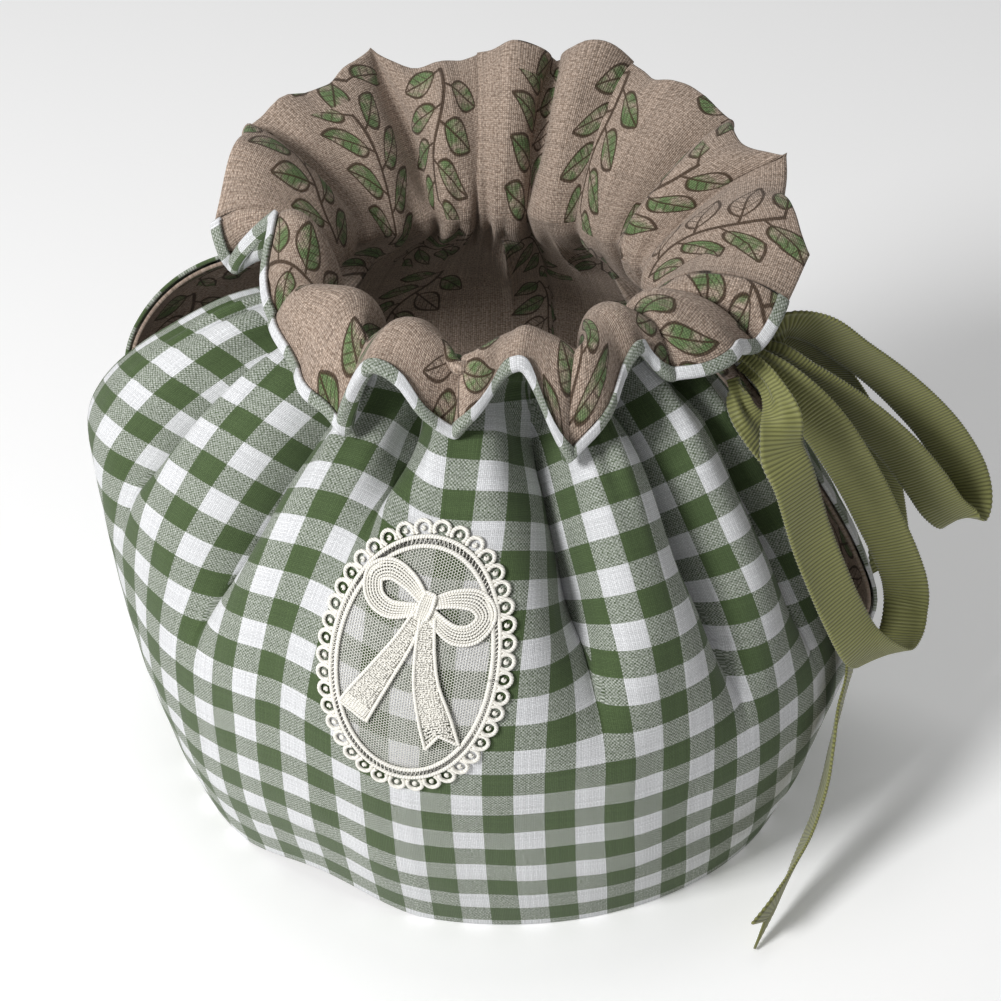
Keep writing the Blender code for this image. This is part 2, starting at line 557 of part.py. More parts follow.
def make_bow_piece(name, left, right, material, collection):
    """A flat ribbon of the embroidered bow, laid on the net."""
    low = HALF_GAP + CLOTH_THICKNESS + MEDALLION_STANDOFF + NET_THICKNESS + BOW_STANDOFF
    flat = np.stack([left, right], axis=0)
    outer = on_front(flat[..., 0], flat[..., 1], low + BOW_THICKNESS)
    inner = on_front(flat[..., 0], flat[..., 1], low)
    normal = np.cross(outer[0, 1] - outer[0, 0], outer[1, 0] - outer[0, 0])
    if np.dot(normal, outer[0, 0] - inner[0, 0]) > 0.0:
        outer, inner = outer[::-1], inner[::-1]
    obj = make_sheet(name, outer, outer, inner, material, collection)
    mesh = bmesh.new()
    mesh.from_mesh(obj.data)
    bmesh.ops.recalc_face_normals(mesh, faces=mesh.faces)
    mesh.to_mesh(obj.data)
    mesh.free()
    return obj


def make_bow(material, collection):
    for side, sign in (("left", -1.0), ("right", 1.0)):
        for part, route in (("loop", BOW_LOOP), ("tail", BOW_TAIL)):
            rows = [(sign * x, y, width) for x, y, width in route]
            make_bow_piece(f"lace_{part}_{side}", *strip_outline(rows), material, collection)
    width, half_height = BOW_KNOT
    rows = [(0.0, BOW_CENTRE_UP + share * half_height, width * waist)
            for share, waist in ((-1.0, 0.9), (0.0, 1.15), (1.0, 0.9))]
    make_bow_piece("lace_knot", *strip_outline(rows), material, collection)


# ---------------------------------------------------------------- ribbon
def make_ribbon(name, route, steps, notch, material, collection):
    """Flat strip through a route of points with the direction across it at each."""
    rows = through(route, np.linspace(0.0, len(route) - 1.0, steps + 1))
    middle = rows[:, :3] * MM
    heading = unit(np.gradient(middle, axis=0))
    across = rows[:, 3:6]
    across = unit(across - heading * np.sum(across * heading, axis=-1, keepdims=True))
    flat_normal = unit(np.cross(heading, across))
    reach = rows[:, 6, None] * np.array([-0.5, 0.0, 0.5]) * RIBBON_WIDTH
    columns = middle[:, None, :] + across[:, None, :] * reach[:, :, None]
    if notch:
        columns[-1, 0] = columns[-1, 0] + heading[-1] * notch
        columns[-1, 2] = columns[-1, 2] + heading[-1] * notch
    thick = flat_normal[:, None, :] * RIBBON_THICKNESS * 0.5
    return make_sheet(name, columns, columns - thick, columns + thick, material, collection)


def make_knot(material, collection):
    """The ribbon's knot: a soft block, pinched at its waist."""
    centre = np.add(KNOT_CENTRE, FROM_NECK)
    bpy.ops.mesh.primitive_cube_add(size=1.0, location=centre)
    knot = bpy.context.object
    knot.name = knot.data.name = "ribbon_knot"
    for vertex in knot.data.vertices:
        vertex.co.x *= KNOT_SIZE[0]
        vertex.co.y *= KNOT_SIZE[1]
        vertex.co.z *= KNOT_SIZE[2]
    for owner in list(knot.users_collection):
        owner.objects.unlink(knot)
    collection.objects.link(knot)
    knot.data.materials.append(material)
    subdivision = knot.modifiers.new("soft", "SUBSURF")
    subdivision.levels = 2
    subdivision.render_levels = 2
    return knot


# ---------------------------------------------------------------- assembly
def main():
    clear_scene()
    collection = bpy.data.collections.new("tea_cosy")
    bpy.context.scene.collection.children.link(collection)
    gingham = make_material("gingham", (0.20, 0.27, 0.16), 0.9)
    linen = make_material("linen", (0.43, 0.34, 0.27), 0.95)
    lace = make_material("lace", (0.85, 0.80, 0.70), 0.85)
    ribbon = make_material("ribbon", (0.20, 0.21, 0.06), 0.6)
    make_panels("front", FRONT_LINES, FRONT_STEPS, gingham, linen, collection)
    make_panels("back", BACK_LINES, BACK_STEPS, gingham, linen, collection)
    make_medallion(lace, collection)
    make_bow(lace, collection)
    make_knot(ribbon, collection)
    make_ribbon("ribbon_loop_front", FRONT_LOOP, 34, 0.0, ribbon, collection)
    make_ribbon("ribbon_loop_back", BACK_LOOP, 32, 0.0, ribbon, collection)
    make_ribbon("ribbon_tail_long", LONG_TAIL, 26, TAIL_NOTCH, ribbon, collection)
    make_ribbon("ribbon_tail_short", SHORT_TAIL, 16, TAIL_NOTCH, ribbon, collection)


main()
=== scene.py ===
# %% [markdown]
# # A drawstring tea cosy
# A tea cosy is a jacket of cloth for a teapot. This one has two panels of green gingham and a
# printed linen lining, is drawn in to a neck, and opens above it into a frill. An oval lace
# medallion is sewn to the front, and a ribbon is tied at the handle's side.
#
# The rigid frame is loaded first. It has a plain solid for each piece, and every piece made below
# takes the place of one of them.

import math

import bmesh
import bpy
import numpy as np
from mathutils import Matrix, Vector
from mathutils.bvhtree import BVHTree


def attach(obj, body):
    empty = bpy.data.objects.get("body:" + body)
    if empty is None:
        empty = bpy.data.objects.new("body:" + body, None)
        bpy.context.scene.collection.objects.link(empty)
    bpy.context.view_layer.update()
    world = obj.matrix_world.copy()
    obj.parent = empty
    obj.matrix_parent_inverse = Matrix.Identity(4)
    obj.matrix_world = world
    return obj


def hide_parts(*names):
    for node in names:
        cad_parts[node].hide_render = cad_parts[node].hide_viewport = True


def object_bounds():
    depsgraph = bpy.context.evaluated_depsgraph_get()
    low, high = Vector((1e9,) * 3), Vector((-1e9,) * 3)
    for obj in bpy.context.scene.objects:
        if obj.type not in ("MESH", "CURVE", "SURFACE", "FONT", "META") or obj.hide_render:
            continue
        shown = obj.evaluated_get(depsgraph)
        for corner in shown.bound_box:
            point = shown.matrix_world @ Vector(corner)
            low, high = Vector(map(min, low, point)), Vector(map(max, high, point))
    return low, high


MM = 0.001
FROM_NECK = np.array((-9.96, 1.32, 0.0)) * MM   # from the middle of the neck to the origin

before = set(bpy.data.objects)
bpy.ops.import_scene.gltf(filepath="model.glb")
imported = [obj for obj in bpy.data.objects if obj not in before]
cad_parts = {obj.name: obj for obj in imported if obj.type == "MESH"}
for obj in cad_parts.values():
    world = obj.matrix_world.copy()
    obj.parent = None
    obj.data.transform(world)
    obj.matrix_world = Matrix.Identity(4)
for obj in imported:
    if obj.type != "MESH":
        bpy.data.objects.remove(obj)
cad_low, cad_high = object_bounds()
cad_sides = [round((high - low) / MM) for low, high in zip(cad_low, cad_high)]
print("frame:", len(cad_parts), "solids,", cad_sides, "mm")

# %% [markdown]
# ## Camera
# A soft thing is best seen from a little above, through a long lens, so that its near and far
# sides keep their proportions. The camera looks at a point inside the cosy, and a small shift of
# the lens moves the cosy in the picture without turning it.

# %% The camera
AZIMUTH, ELEVATION = math.radians(12.0), math.radians(38.0)
CAMERA_DISTANCE = 0.55                    # metres
SENSOR, LENS = 36.0, 89.19                # millimetres
LENS_SHIFT = (0.0085, 0.0395)             # a share of the picture's width
AIM = FROM_NECK + np.array((0.0, 0.0, 0.055))


def add_object(name, data):
    """An object with this data, in the scene."""
    obj = bpy.data.objects.new(name, data)
    bpy.context.scene.collection.objects.link(obj)
    return obj


camera = add_object("camera", bpy.data.cameras.new("camera"))
towards = np.array((math.sin(AZIMUTH) * math.cos(ELEVATION),
                    -math.cos(AZIMUTH) * math.cos(ELEVATION), math.sin(ELEVATION)))
camera.location = AIM + towards * CAMERA_DISTANCE
camera.rotation_euler = (math.pi / 2.0 - ELEVATION, 0.0, AZIMUTH)
camera.data.sensor_width, camera.data.lens = SENSOR, LENS
camera.data.shift_x, camera.data.shift_y = LENS_SHIFT
camera.data.clip_start = 0.02
bpy.context.scene.camera = camera
print("camera at", [round(value, 3) for value in camera.location], "m")

# %% [markdown]
# ## The form of the cloth
# Cloth that is gathered follows a few strong lines: the creases between its folds and the seams.
# The whole cosy is one reference surface. It runs up through the stations below, from the hem to
# the neck, then over the frill to its rim, and it goes round through one row for each fold. Both
# cloths follow it, one just outside it and the other just inside.

# %% Stations up the cosy, in millimetres
# Radius and height of the plain body, of the meridian over the spout and of the one over the
# handle, half the width of each slit, how far the back edge of the handle's slit stands out, and
# the extra breadth from side to side.
STATIONS = (
    (62.5, 0.0, 69.5, 0.0, 69.0, 0.0, 0.0, 0.0, 0.0, 6.3),
    (66.0, 12.5, 75.3, 14.0, 73.0, 12.0, 0.0, 0.0, 0.0, 6.3),
    (69.5, 26.0, 79.3, 29.0, 76.5, 24.0, 0.0, 0.0, 0.0, 5.6),
    (72.0, 39.5, 82.0, 44.0, 79.6, 35.5, 0.0, 0.6, 0.5, 4.3),
    (72.7, 53.0, 84.0, 58.0, 78.5, 47.0, 3.0, 4.0, 6.0, 2.6),
    (71.2, 65.5, 86.0, 71.5, 74.0, 59.5, 7.0, 4.6, 6.5, 1.2),
    (67.3, 77.8, 86.5, 84.5, 69.5, 71.5, 9.5, 5.0, 4.5, 0.4),
    (61.2, 87.6, 82.5, 94.5, 64.5, 83.0, 10.0, 5.2, 2.0, 0.0),
    (53.7, 96.1, 75.5, 103.3, 58.5, 94.0, 10.0, 5.4, 0.5, 0.0),
    (45.8, 104.0, 66.0, 110.5, 51.5, 104.0, 9.0, 5.0, 0.0, 0.0),
    (39.0, 110.5, 54.5, 116.3, 44.0, 111.5, 6.5, 3.6, 0.0, 0.0),
    (34.8, 115.6, 42.0, 118.0, 37.0, 116.5, 2.5, 1.2, 0.0, 0.0),
    (33.5, 119.5, 34.5, 120.5, 33.5, 120.0, 0.0, 0.0, 0.0, 0.0),
)
BODY_R, BODY_Z, SPOUT_R, SPOUT_Z, HANDLE_R, HANDLE_Z = range(6)
SPOUT_SLIT, HANDLE_SLIT, BACK_LIP, BREADTH = range(6, 10)
NECK = len(STATIONS) - 1
SPOUT_ANGLE, HANDLE_ANGLE = 180.0, 0.0
FRONT, BACK = -1.0, 1.0
SPOUT_SPREAD, HANDLE_SPREAD, LIP_SPREAD, SLIT_SPREAD = 30.0, 24.0, 13.0, 42.0
MEDALLION_ANGLE, MEDALLION_STATION, MEDALLION_LEAN = -91.0, 5.85, 5.0
HEM_LIFTS = ((-113.0, 24.0, 5.6), (58.0, 14.0, 1.4), (138.0, 12.0, 1.8))  # angle, half width, height
HEM_LIFT_TOP = 2.5        # the station where a lift of the hem has died away
print(len(STATIONS), "stations, up to", STATIONS[-1][1], "mm")

# %% Folds of the front and the back
# Kind (crease -1, seam 0, puff +1), angle at the belly, at the neck and at the rim, the rim's
# radius and height, the height of the frill's crest, the fold's depth, the station it ends at.
LINE_COLUMNS = ("kind", "belly", "neck", "rim", "rim_r", "rim_z", "crest_z", "depth", "foot")
FRONT_LINES = (
    (0, -180.0, -180.0, -177.0, 57.5, 132.0, 133.0, 0.0, 11.0),
    (1, -169.0, -171.0, -173.0, 56.0, 124.0, 131.0, 1.0, 8.0),
    (-1, -158.0, -157.0, -163.0, 42.8, 139.0, 135.5, 3.5, 4.5),
    (1, -146.0, -145.0, -147.0, 48.5, 124.0, 132.0, 2.5, 6.0),
    (-1, -134.0, -131.0, -132.0, 46.5, 118.5, 131.0, 5.0, 4.0),
    (1, -119.0, -117.0, -115.0, 48.5, 112.5, 130.0, 3.0, 6.0),
    (-1, -106.0, -102.0, -107.5, 44.0, 126.5, 131.0, 4.0, 7.0),
    (1, -88.0, -87.0, -88.0, 43.5, 114.5, 130.0, 3.0, 6.0),
    (-1, -59.0, -62.0, -70.6, 39.6, 128.8, 129.6, 6.0, 3.8),
    (1, -48.0, -49.0, -60.0, 49.0, 111.5, 130.0, 3.0, 6.0),
    (-1, -33.0, -35.0, -33.0, 40.5, 125.0, 130.0, 6.0, 3.4),
    (1, -24.0, -24.0, -26.0, 45.5, 117.0, 129.0, 3.0, 6.0),
    (-1, -14.0, -12.5, -13.0, 51.0, 119.5, 128.0, 5.0, 3.6),
    (1, -6.0, -5.5, -5.0, 57.0, 117.5, 127.5, 1.0, 8.0),
    (0, 0.0, 0.0, 1.0, 59.0, 124.5, 129.0, 0.0, 11.0),
)
BACK_LINES = (
    (0, 0.0, 0.0, 1.0, 59.0, 124.5, 129.0, 0.0, 11.0),
    (1, 8.0, 8.0, 8.5, 62.0, 131.0, 131.5, 1.0, 8.0),
    (-1, 17.0, 18.0, 18.0, 59.5, 135.5, 132.0, 4.5, 5.0),
    (1, 28.0, 28.0, 30.0, 62.5, 141.5, 133.0, 3.0, 6.0),
    (-1, 38.0, 38.0, 38.5, 56.0, 140.0, 133.0, 4.0, 6.0),
    (1, 47.0, 47.0, 46.0, 60.0, 142.0, 134.0, 3.0, 6.0),
    (-1, 60.0, 58.0, 60.0, 57.5, 143.0, 133.0, 5.0, 4.5),
    (1, 72.0, 69.0, 74.0, 61.0, 142.5, 134.0, 3.0, 7.0),
    (-1, 81.0, 79.0, 81.5, 57.5, 147.0, 136.0, 4.0, 7.0),
    (1, 90.0, 88.0, 88.0, 59.5, 143.0, 134.0, 3.0, 7.0),
    (-1, 98.0, 97.0, 97.0, 55.0, 146.5, 136.0, 5.0, 5.0),
    (1, 107.0, 106.0, 104.5, 59.5, 143.0, 134.0, 3.0, 7.0),
    (-1, 116.0, 115.0, 113.5, 54.5, 142.0, 134.0, 4.0, 7.0),
    (1, 127.0, 125.0, 126.0, 63.5, 145.0, 134.0, 3.0, 7.0),
    (-1, 140.0, 139.0, 139.0, 58.5, 142.5, 133.0, 5.0, 5.0),
    (1, 154.0, 155.0, 159.0, 60.5, 141.0, 134.0, 2.5, 7.0),
    (-1, 167.0, 167.0, 172.0, 55.0, 144.0, 135.0, 3.0, 7.0),
    (0, 180.0, 180.0, 183.0, 57.5, 132.0, 133.0, 0.0, 11.0),
)
print(len(FRONT_LINES), "lines on the front,", len(BACK_LINES), "on the back")


# %% Small helpers for curves
def smooth(value):
    """Rise from 0 to 1 with flat ends."""
    value = np.clip(value, 0.0, 1.0)
    return value * value * (3.0 - 2.0 * value)


def through(table, position):
    """Read a smooth curve through the rows of a table."""
    rows = np.asarray(table, float)
    position = np.clip(np.asarray(position, float), 0.0, len(rows) - 1.0)
    start = np.minimum(position.astype(int), len(rows) - 2)
    x = (position - start)[..., None]
    before = rows[np.maximum(start - 1, 0)]
    after = rows[np.minimum(start + 2, len(rows) - 1)]
    first, second = rows[start], rows[start + 1]
    return 0.5 * (2.0 * first + (second - before) * x
                  + (2.0 * before - 5.0 * first + 4.0 * second - after) * x ** 2
                  + (3.0 * first - before - 3.0 * second + after) * x ** 3)


def bezier(x, start, leave, arrive, end):
    """A curve from start to end that is drawn towards the two values between."""
    keep = 1.0 - x
    return keep ** 3 * start + 3.0 * keep ** 2 * x * leave + 3.0 * keep * x ** 2 * arrive + x ** 3 * end


def unit(vectors):
    return vectors / np.maximum(np.linalg.norm(vectors, axis=-1, keepdims=True), 1e-12)


def run_along(points, axis=0):
    """Length from the start to each point of a path, or of every path along one way of a grid."""
    steps = np.linalg.norm(np.diff(points, axis=axis), axis=-1)
    start = np.zeros_like(np.take(steps, [0], axis=axis))
    return np.concatenate([start, np.cumsum(steps, axis=axis)], axis=axis)


def angle_from(angle, centre):
    return (np.asarray(angle) - centre + 180.0) % 360.0 - 180.0


def bulge(angle, centre, spread):
    return np.exp(-(angle_from(angle, centre) / spread) ** 2)


def value_noise(x, y, seed):
    """Smooth random hills, about one to each whole step of x and y, from -1 to 1."""
    size = 64
    table = np.random.default_rng(seed).uniform(-1.0, 1.0, (size, size))
    column, row = np.floor(x).astype(int), np.floor(y).astype(int)
    across, up = smooth(x - column), smooth(y - row)

    def between(row):
        left, right = table[row % size, column % size], table[row % size, (column + 1) % size]
        return left * (1 - across) + right * across

    return between(row) * (1 - up) + between(row + 1) * up


# %% [markdown]
# ## Meridians and folds
# The body bulges at -X and +X, where the spout and the handle push it out. Each fold is a sharp
# crease between two rounded puffs, so the depth between two lines rises steeply from the crease
# and flattens on the puff. Under the medallion the stiff net keeps the cloth smooth.

# %% The unfolded body
def medallion_mask(angle, station):
    """1 under the medallion and 0 elsewhere."""
    across = angle_from(angle, MEDALLION_ANGLE) / 22.0
    along = (station - MEDALLION_STATION) / 3.2
    return 1.0 - smooth((np.hypot(across, along) - 0.75) / 0.5)


def hem_lift(angle, station):
    lift = np.zeros_like(np.asarray(angle, float))
    for centre, half_width, height in HEM_LIFTS:
        near = 1.0 - np.abs(angle_from(angle, centre)) / half_width
        lift = lift + height * smooth(near) * smooth(1.0 - station / HEM_LIFT_TOP)
    return lift


def body_meridian(angle, station, side):
    """Radius and height of the unfolded body, in millimetres."""
    rows = through(STATIONS, station)
    body_r = rows[..., BODY_R] + rows[..., BREADTH] * np.cos(np.radians(angle)) ** 2
    body_z = rows[..., BODY_Z]
    spout = bulge(angle, SPOUT_ANGLE, SPOUT_SPREAD)
    handle = bulge(angle, HANDLE_ANGLE, HANDLE_SPREAD)
    lip = bulge(angle, HANDLE_ANGLE, LIP_SPREAD) * (side == BACK)
    radius = (body_r + spout * (rows[..., SPOUT_R] - body_r)
              + handle * (rows[..., HANDLE_R] - body_r) + lip * rows[..., BACK_LIP])
    height = (body_z + spout * (rows[..., SPOUT_Z] - body_z)
              + handle * (rows[..., HANDLE_Z] - body_z) + hem_lift(angle, station))
    return radius, height


def off_meridian(angle, station, side, depth, step):
    """Radius and height of a point that lies some depth outside the unfolded body."""
    radius, height = body_meridian(angle, station, side)
    low_r, low_z = body_meridian(angle, station - step, side)
    high_r, high_z = body_meridian(angle, station + step, side)
    length = np.maximum(np.hypot(high_r - low_r, high_z - low_z), 1e-9)
    return radius + depth * (high_z - low_z) / length, height - depth * (high_r - low_r) / length


def slit_shift(angle, station, side):
    """How far the cloth is turned away from the slits, in degrees."""
    rows = through(STATIONS, np.minimum(station, NECK))
    shift = np.zeros_like(np.asarray(angle, float))
    for centre, column in ((SPOUT_ANGLE, SPOUT_SLIT), (HANDLE_ANGLE, HANDLE_SLIT)):
        half_width = np.maximum(rows[..., column], 0.0)
        half_angle = np.degrees(half_width / np.maximum(rows[..., BODY_R], 30.0))
        reach = np.clip(1.0 - np.abs(angle_from(angle, centre)) / SLIT_SPREAD, 0.0, 1.0) ** 2
        shift = shift + np.sign(angle_from(side * 90.0, centre)) * half_angle * reach
    return shift


# %% [markdown]
# ## Reading the folds
# A point's place round the cosy is a position in its fold table: 3.5 is half way between lines 3
# and 4. The folds of the front are deep and narrow and those of the back are shallow and broad,
# so each side has its own numbers for how a fold swells, loses depth near the neck and is pinched.

# %% Folds over the body
PUFF_SHARE = 0.55                            # of the fold's depth, outwards on a puff
CREASE_SHARE = {FRONT: -1.1, BACK: -1.0}     # and inwards in a crease
GAIN = {FRONT: 1.95, BACK: 1.15}
NECK_LOSS = {FRONT: 0.5, BACK: 0.7}          # share of the depth lost above a station
LOSS_STATION = {FRONT: 9.8, BACK: 8.2}
PINCH = 0.8                                  # the narrow groove in each crease
PINCH_WIDTH = {FRONT: 0.22, BACK: 0.14}
PINCH_STATION = {FRONT: 9.2, BACK: 6.0}      # where the groove fades


def side_of(lines):
    """FRONT or BACK, from the angles that a fold table covers."""
    return math.copysign(1.0, lines[0][1] + lines[-1][1])


def between_lines(lines, position):
    """The line before a position, the share of the way to the next, and whether it is the higher."""
    kinds = np.array([row[0] for row in lines])
    start = np.clip(np.floor(position).astype(int), 0, len(lines) - 2)
    return start, position - start, kinds[start] > kinds[start + 1]


def blend_lines(lines, column, position, eased=False):
    """Read one column of a fold table between its rows."""
    values = np.array([row[LINE_COLUMNS.index(column)] for row in lines], float)
    start, x, from_tip = between_lines(lines, position)
    if eased:
        away = np.where(from_tip, x, 1.0 - x)
        rounded = np.sin(0.5 * math.pi * away)
        away = rounded ** 0.75 if side_of(lines) == BACK else 0.12 * away + 0.88 * rounded ** 1.5
        x = np.where(from_tip, away, 1.0 - away)
    return values[start] + (values[start + 1] - values[start]) * x


def fold_depth(lines, position, station):
    """Outward displacement of the folds: sharp creases between rounded puffs."""
    side = side_of(lines)
    table = {name: np.array([row[k] for row in lines], float) for k, name in enumerate(LINE_COLUMNS)}
    start, x, _ = between_lines(lines, position)
    ends = []
    for index in (start, start + 1):
        kept = 1.0 - NECK_LOSS[side] * smooth((station - LOSS_STATION[side]) / 2.4)
        share = np.where(table["kind"][index] > 0, PUFF_SHARE, CREASE_SHARE[side])
        swell = smooth((station - table["foot"][index]) / 3.5) * kept
        ends.append(share * table["depth"][index] * swell * GAIN[side])
    from_crease = table["kind"][start] < table["kind"][start + 1]
    to_crease = np.where(from_crease, x, 1.0 - x)
    at_neck = smooth((station - 9.0) / 2.6)
    puffed = (1.0 - (1.0 - to_crease) ** 2) ** 0.62
    rise = puffed * (1.0 - at_neck) + smooth(to_crease) * at_neck
    rise = np.where(from_crease, rise, 1.0 - rise)
    depth_there = np.where(from_crease, ends[0], ends[1])
    pinch = np.exp(-(to_crease / PINCH_WIDTH[side]) ** 1.5) * depth_there * PINCH
    apart = np.abs(table["belly"][start + 1] - table["belly"][start])
    pinch = pinch * np.clip((apart - 6.0) / 9.0, 0.15, 1.0)
    pinch = pinch * (1.0 - smooth((station - PINCH_STATION[side]) / 1.8))
    return ends[0] + (ends[1] - ends[0]) * rise + np.minimum(pinch, 0.0)


# %% [markdown]
# ## Gathers, grooves and wrinkles
# A drawn-in neck throws many small pleats up and down from it, between the main folds. Sharp
# grooves run up the frill to its tips, and soft cotton keeps faint wrinkles everywhere. All are a
# small push along the surface's normal: a row of waves that fades away from the neck, a narrow
# dip on each line, and smooth random hills that are longer than they are wide.

# %% Small relief of the cloth
GATHER_HEIGHT = 1.0       # millimetres
GATHERS = {FRONT: 1.45, BACK: 1.1}      # to each line
WRINKLE_HEIGHT = 0.45
GROOVE_DEPTH = {FRONT: 3.6, BACK: 3.4}
# How deep the groove inside each line of the back of the frill is, as a share: the linen lies in
# broad panels there, so some lines carry a groove and others are pressed flat.
BACK_GROOVES = (0, 0.3, 0, 0.7, 0, 1.1, 0, -0.4, 0, 1.3, 0, -0.4, 0, 1.3, 0, 1.1, 0, 0)


def frill_grooves(lines, position, level):
    """Outward push, in millimetres, of the sharp grooves that run up the frill to its tips."""
    side = side_of(lines)
    start, x, from_tip = between_lines(lines, position)
    to_tip = np.where(from_tip, x, 1.0 - x)
    share = np.array(BACK_GROOVES if side == BACK else np.ones(len(lines)))
    weight = share[np.where(from_tip, start, start + 1)] * GROOVE_DEPTH[side]
    spread = np.where(weight > 0.0, 0.28 if side == BACK else 0.22, 0.6)
    groove = np.exp(-(to_tip / spread) ** 1.4) * weight
    ridge = np.exp(-((1.0 - to_tip) / 0.45) ** 2) * -0.9
    over = np.clip(level - NECK, 0.0, 1.0)
    swell = np.sin(math.pi * np.clip(over / 1.25, 0.0, 1.0)) ** 0.8
    seam = np.minimum(position, len(lines) - 1.0 - position)
    return (groove + ridge) * swell * smooth(seam / 0.8)


def relief(lines, position, level):
    """Small outward push, in millimetres, of gathers, wrinkles and grooves."""
    side = side_of(lines)
    below = np.exp(-(np.maximum(NECK - 1.6 - level, 0.0) / 1.8) ** 2)
    below = below * (1.0 - 0.6 * smooth((level - NECK + 2.0) / 2.0))
    above = np.exp(-(np.maximum(level - NECK, 0.0) / 0.30) ** 2)
    wander = 0.9 * value_noise(position * 0.7, level * 0.12 + 3.0, 5 + int(side))
    pleat = np.sin(2.0 * math.pi * (position * GATHERS[side] + wander)) * GATHER_HEIGHT * below * above
    belly = blend_lines(lines, "belly", position)
    run = np.where(level > NECK, NECK + (level - NECK) * 4.0, level)
    hills = value_noise(belly / 9.0 + 40.0, run * 0.55 + 7.0, 11)
    hills = hills + 0.5 * value_noise(belly / 4.0 + 90.0, run * 1.1 + 3.0, 12)
    leaning = value_noise(belly / 17.0 + run * 0.3 + 20.0, run * 0.45 - belly / 40.0 + 30.0, 13)
    hills = (hills + 1.4 * leaning) * WRINKLE_HEIGHT * smooth(level / 1.5)
    under_net = medallion_mask(belly, np.minimum(level, NECK))
    return (pleat + hills) * (1.0 - under_net) + frill_grooves(lines, position, level)


# %% [markdown]
# ## The frill
# Above the neck each meridian is one curve. It leaves the neck steeply, passes over the frill's
# crest and ends at the rim, so the front of the frill turns down and its back stands up.

# %% The reference surface
STAND, STAND_FROM, STAND_OVER = 6.0, 120.0, 22.0   # millimetres: a high rim stands up straighter


def surface(lines, position, level, folded=True):
    """Points of the reference surface in metres, before the small relief."""
    position, level = np.broadcast_arrays(np.asarray(position, float), np.asarray(level, float))
    station = np.minimum(level, NECK)
    over = np.clip(level - NECK, 0.0, 1.0)
    belly, neck, rim = (blend_lines(lines, column, position) for column in ("belly", "neck", "rim"))
    angle = belly + (neck - belly) * smooth((station - 4.0) / 8.0)

    side = side_of(lines)
    if folded:
        depth = fold_depth(lines, position, station) * (1.0 - medallion_mask(angle, station))
        radius, height = off_meridian(angle, station, side, depth, 0.02)
    else:
        radius, height = body_meridian(angle, station, side)

    rim_r = blend_lines(lines, "rim_r", position, eased=True)
    rim_r = rim_r + 1.3 * value_noise(rim / 7.0 + 60.0, over * 2.0, 21)
    rim_z = blend_lines(lines, "rim_z", position, eased=True)
    rim_z = rim_z + 1.1 * value_noise(rim / 6.0 + 80.0, over * 2.0, 22)
    crest = blend_lines(lines, "crest_z", position, eased=True)
    reach = rim_r - radius
    middle = (8.0 * crest - height - rim_z) / 6.0     # takes the curve's middle to the crest
    stand = STAND * np.clip((rim_z - STAND_FROM) / STAND_OVER, 0.0, 1.0)
    frill_r = bezier(over, radius, radius + 0.06 * reach, rim_r - 0.38 * reach, rim_r)
    frill_z = bezier(over, height, middle - stand, middle + stand, rim_z)
    turned = angle + slit_shift(angle, station, side) * (over <= 0.0) + (rim - neck) * smooth(over)
    theta = np.radians(turned)
    return np.stack([frill_r * np.cos(theta), frill_r * np.sin(theta), frill_z], axis=-1) * MM


# %% [markdown]
# ## Points, normals and the cut of the cloth
# A panel is a grid of points: columns follow the warp from hem to rim and rows follow the weft.
# Its UV map is the flat cloth in metres, so the weave is the same size everywhere. Where gathers
# take up cloth, the spare width is swallowed inside the creases and the puffs show whole checks.

# %% Grids
SEAM_HALF_GAP = 0.0002    # metres from each panel's edge to the seam
SWALLOW = 0.0028          # width of the strip beside a crease that hides the spare cloth
BELLY_STATION = 4.0       # the widest row, which the cloth above it was cut as wide as


def levels_up():
    """Rows from the hem to the rim, closer together at the hem, at the neck and over the frill."""
    body = np.concatenate([[0.0, 0.05, 0.12, 0.2], np.linspace(0.32, NECK, 66)])
    frill = NECK + np.linspace(0.0, 1.0, 31)[1:]
    return np.concatenate([body, frill])


def grid_normals(grid):
    """Outward unit normals of a grid of points."""
    return unit(np.cross(np.gradient(grid, axis=1), np.gradient(grid, axis=0)))


def soften(field, times):
    """Average a grid of vectors with its neighbours."""
    for _ in range(times):
        padded = np.pad(field, ((1, 1), (1, 1), (0, 0)), mode="edge")
        field = 0.5 * field + 0.125 * (padded[2:, 1:-1] + padded[:-2, 1:-1]
                                       + padded[1:-1, 2:] + padded[1:-1, :-2])
    return field


def soften_across(field, times):
    """Average a grid of vectors with its neighbours in the same row."""
    for _ in range(times):
        padded = np.pad(field, ((0, 0), (1, 1), (0, 0)), mode="edge")
        field = 0.5 * field + 0.25 * (padded[:, 2:] + padded[:, :-2])
    return field


def panel_grid(lines, steps):
    """Reference points of a panel with its small relief, and their positions and levels."""
    positions = np.linspace(0.0, len(lines) - 1.0, (len(lines) - 1) * steps + 1)
    positions = positions - 0.08 * np.sin(2.0 * math.pi * positions)   # closer at the lines
    place, level = np.meshgrid(positions, levels_up())
    grid = surface(lines, place, level)
    normal = unit(soften(grid_normals(grid), 2))
    edges = smooth(np.minimum(place, len(lines) - 1.0 - place) / 0.6)
    grid = grid + normal * (relief(lines, place, level) * edges)[..., None] * MM
    for column, inward in ((0, 1.0), (-1, -1.0)):
        edge = grid[:, column]
        across = unit(np.stack([-edge[:, 1], edge[:, 0], np.zeros(len(edge))], axis=-1))
        grid[:, column] = edge + across * inward * SEAM_HALF_GAP
    return grid, place, level


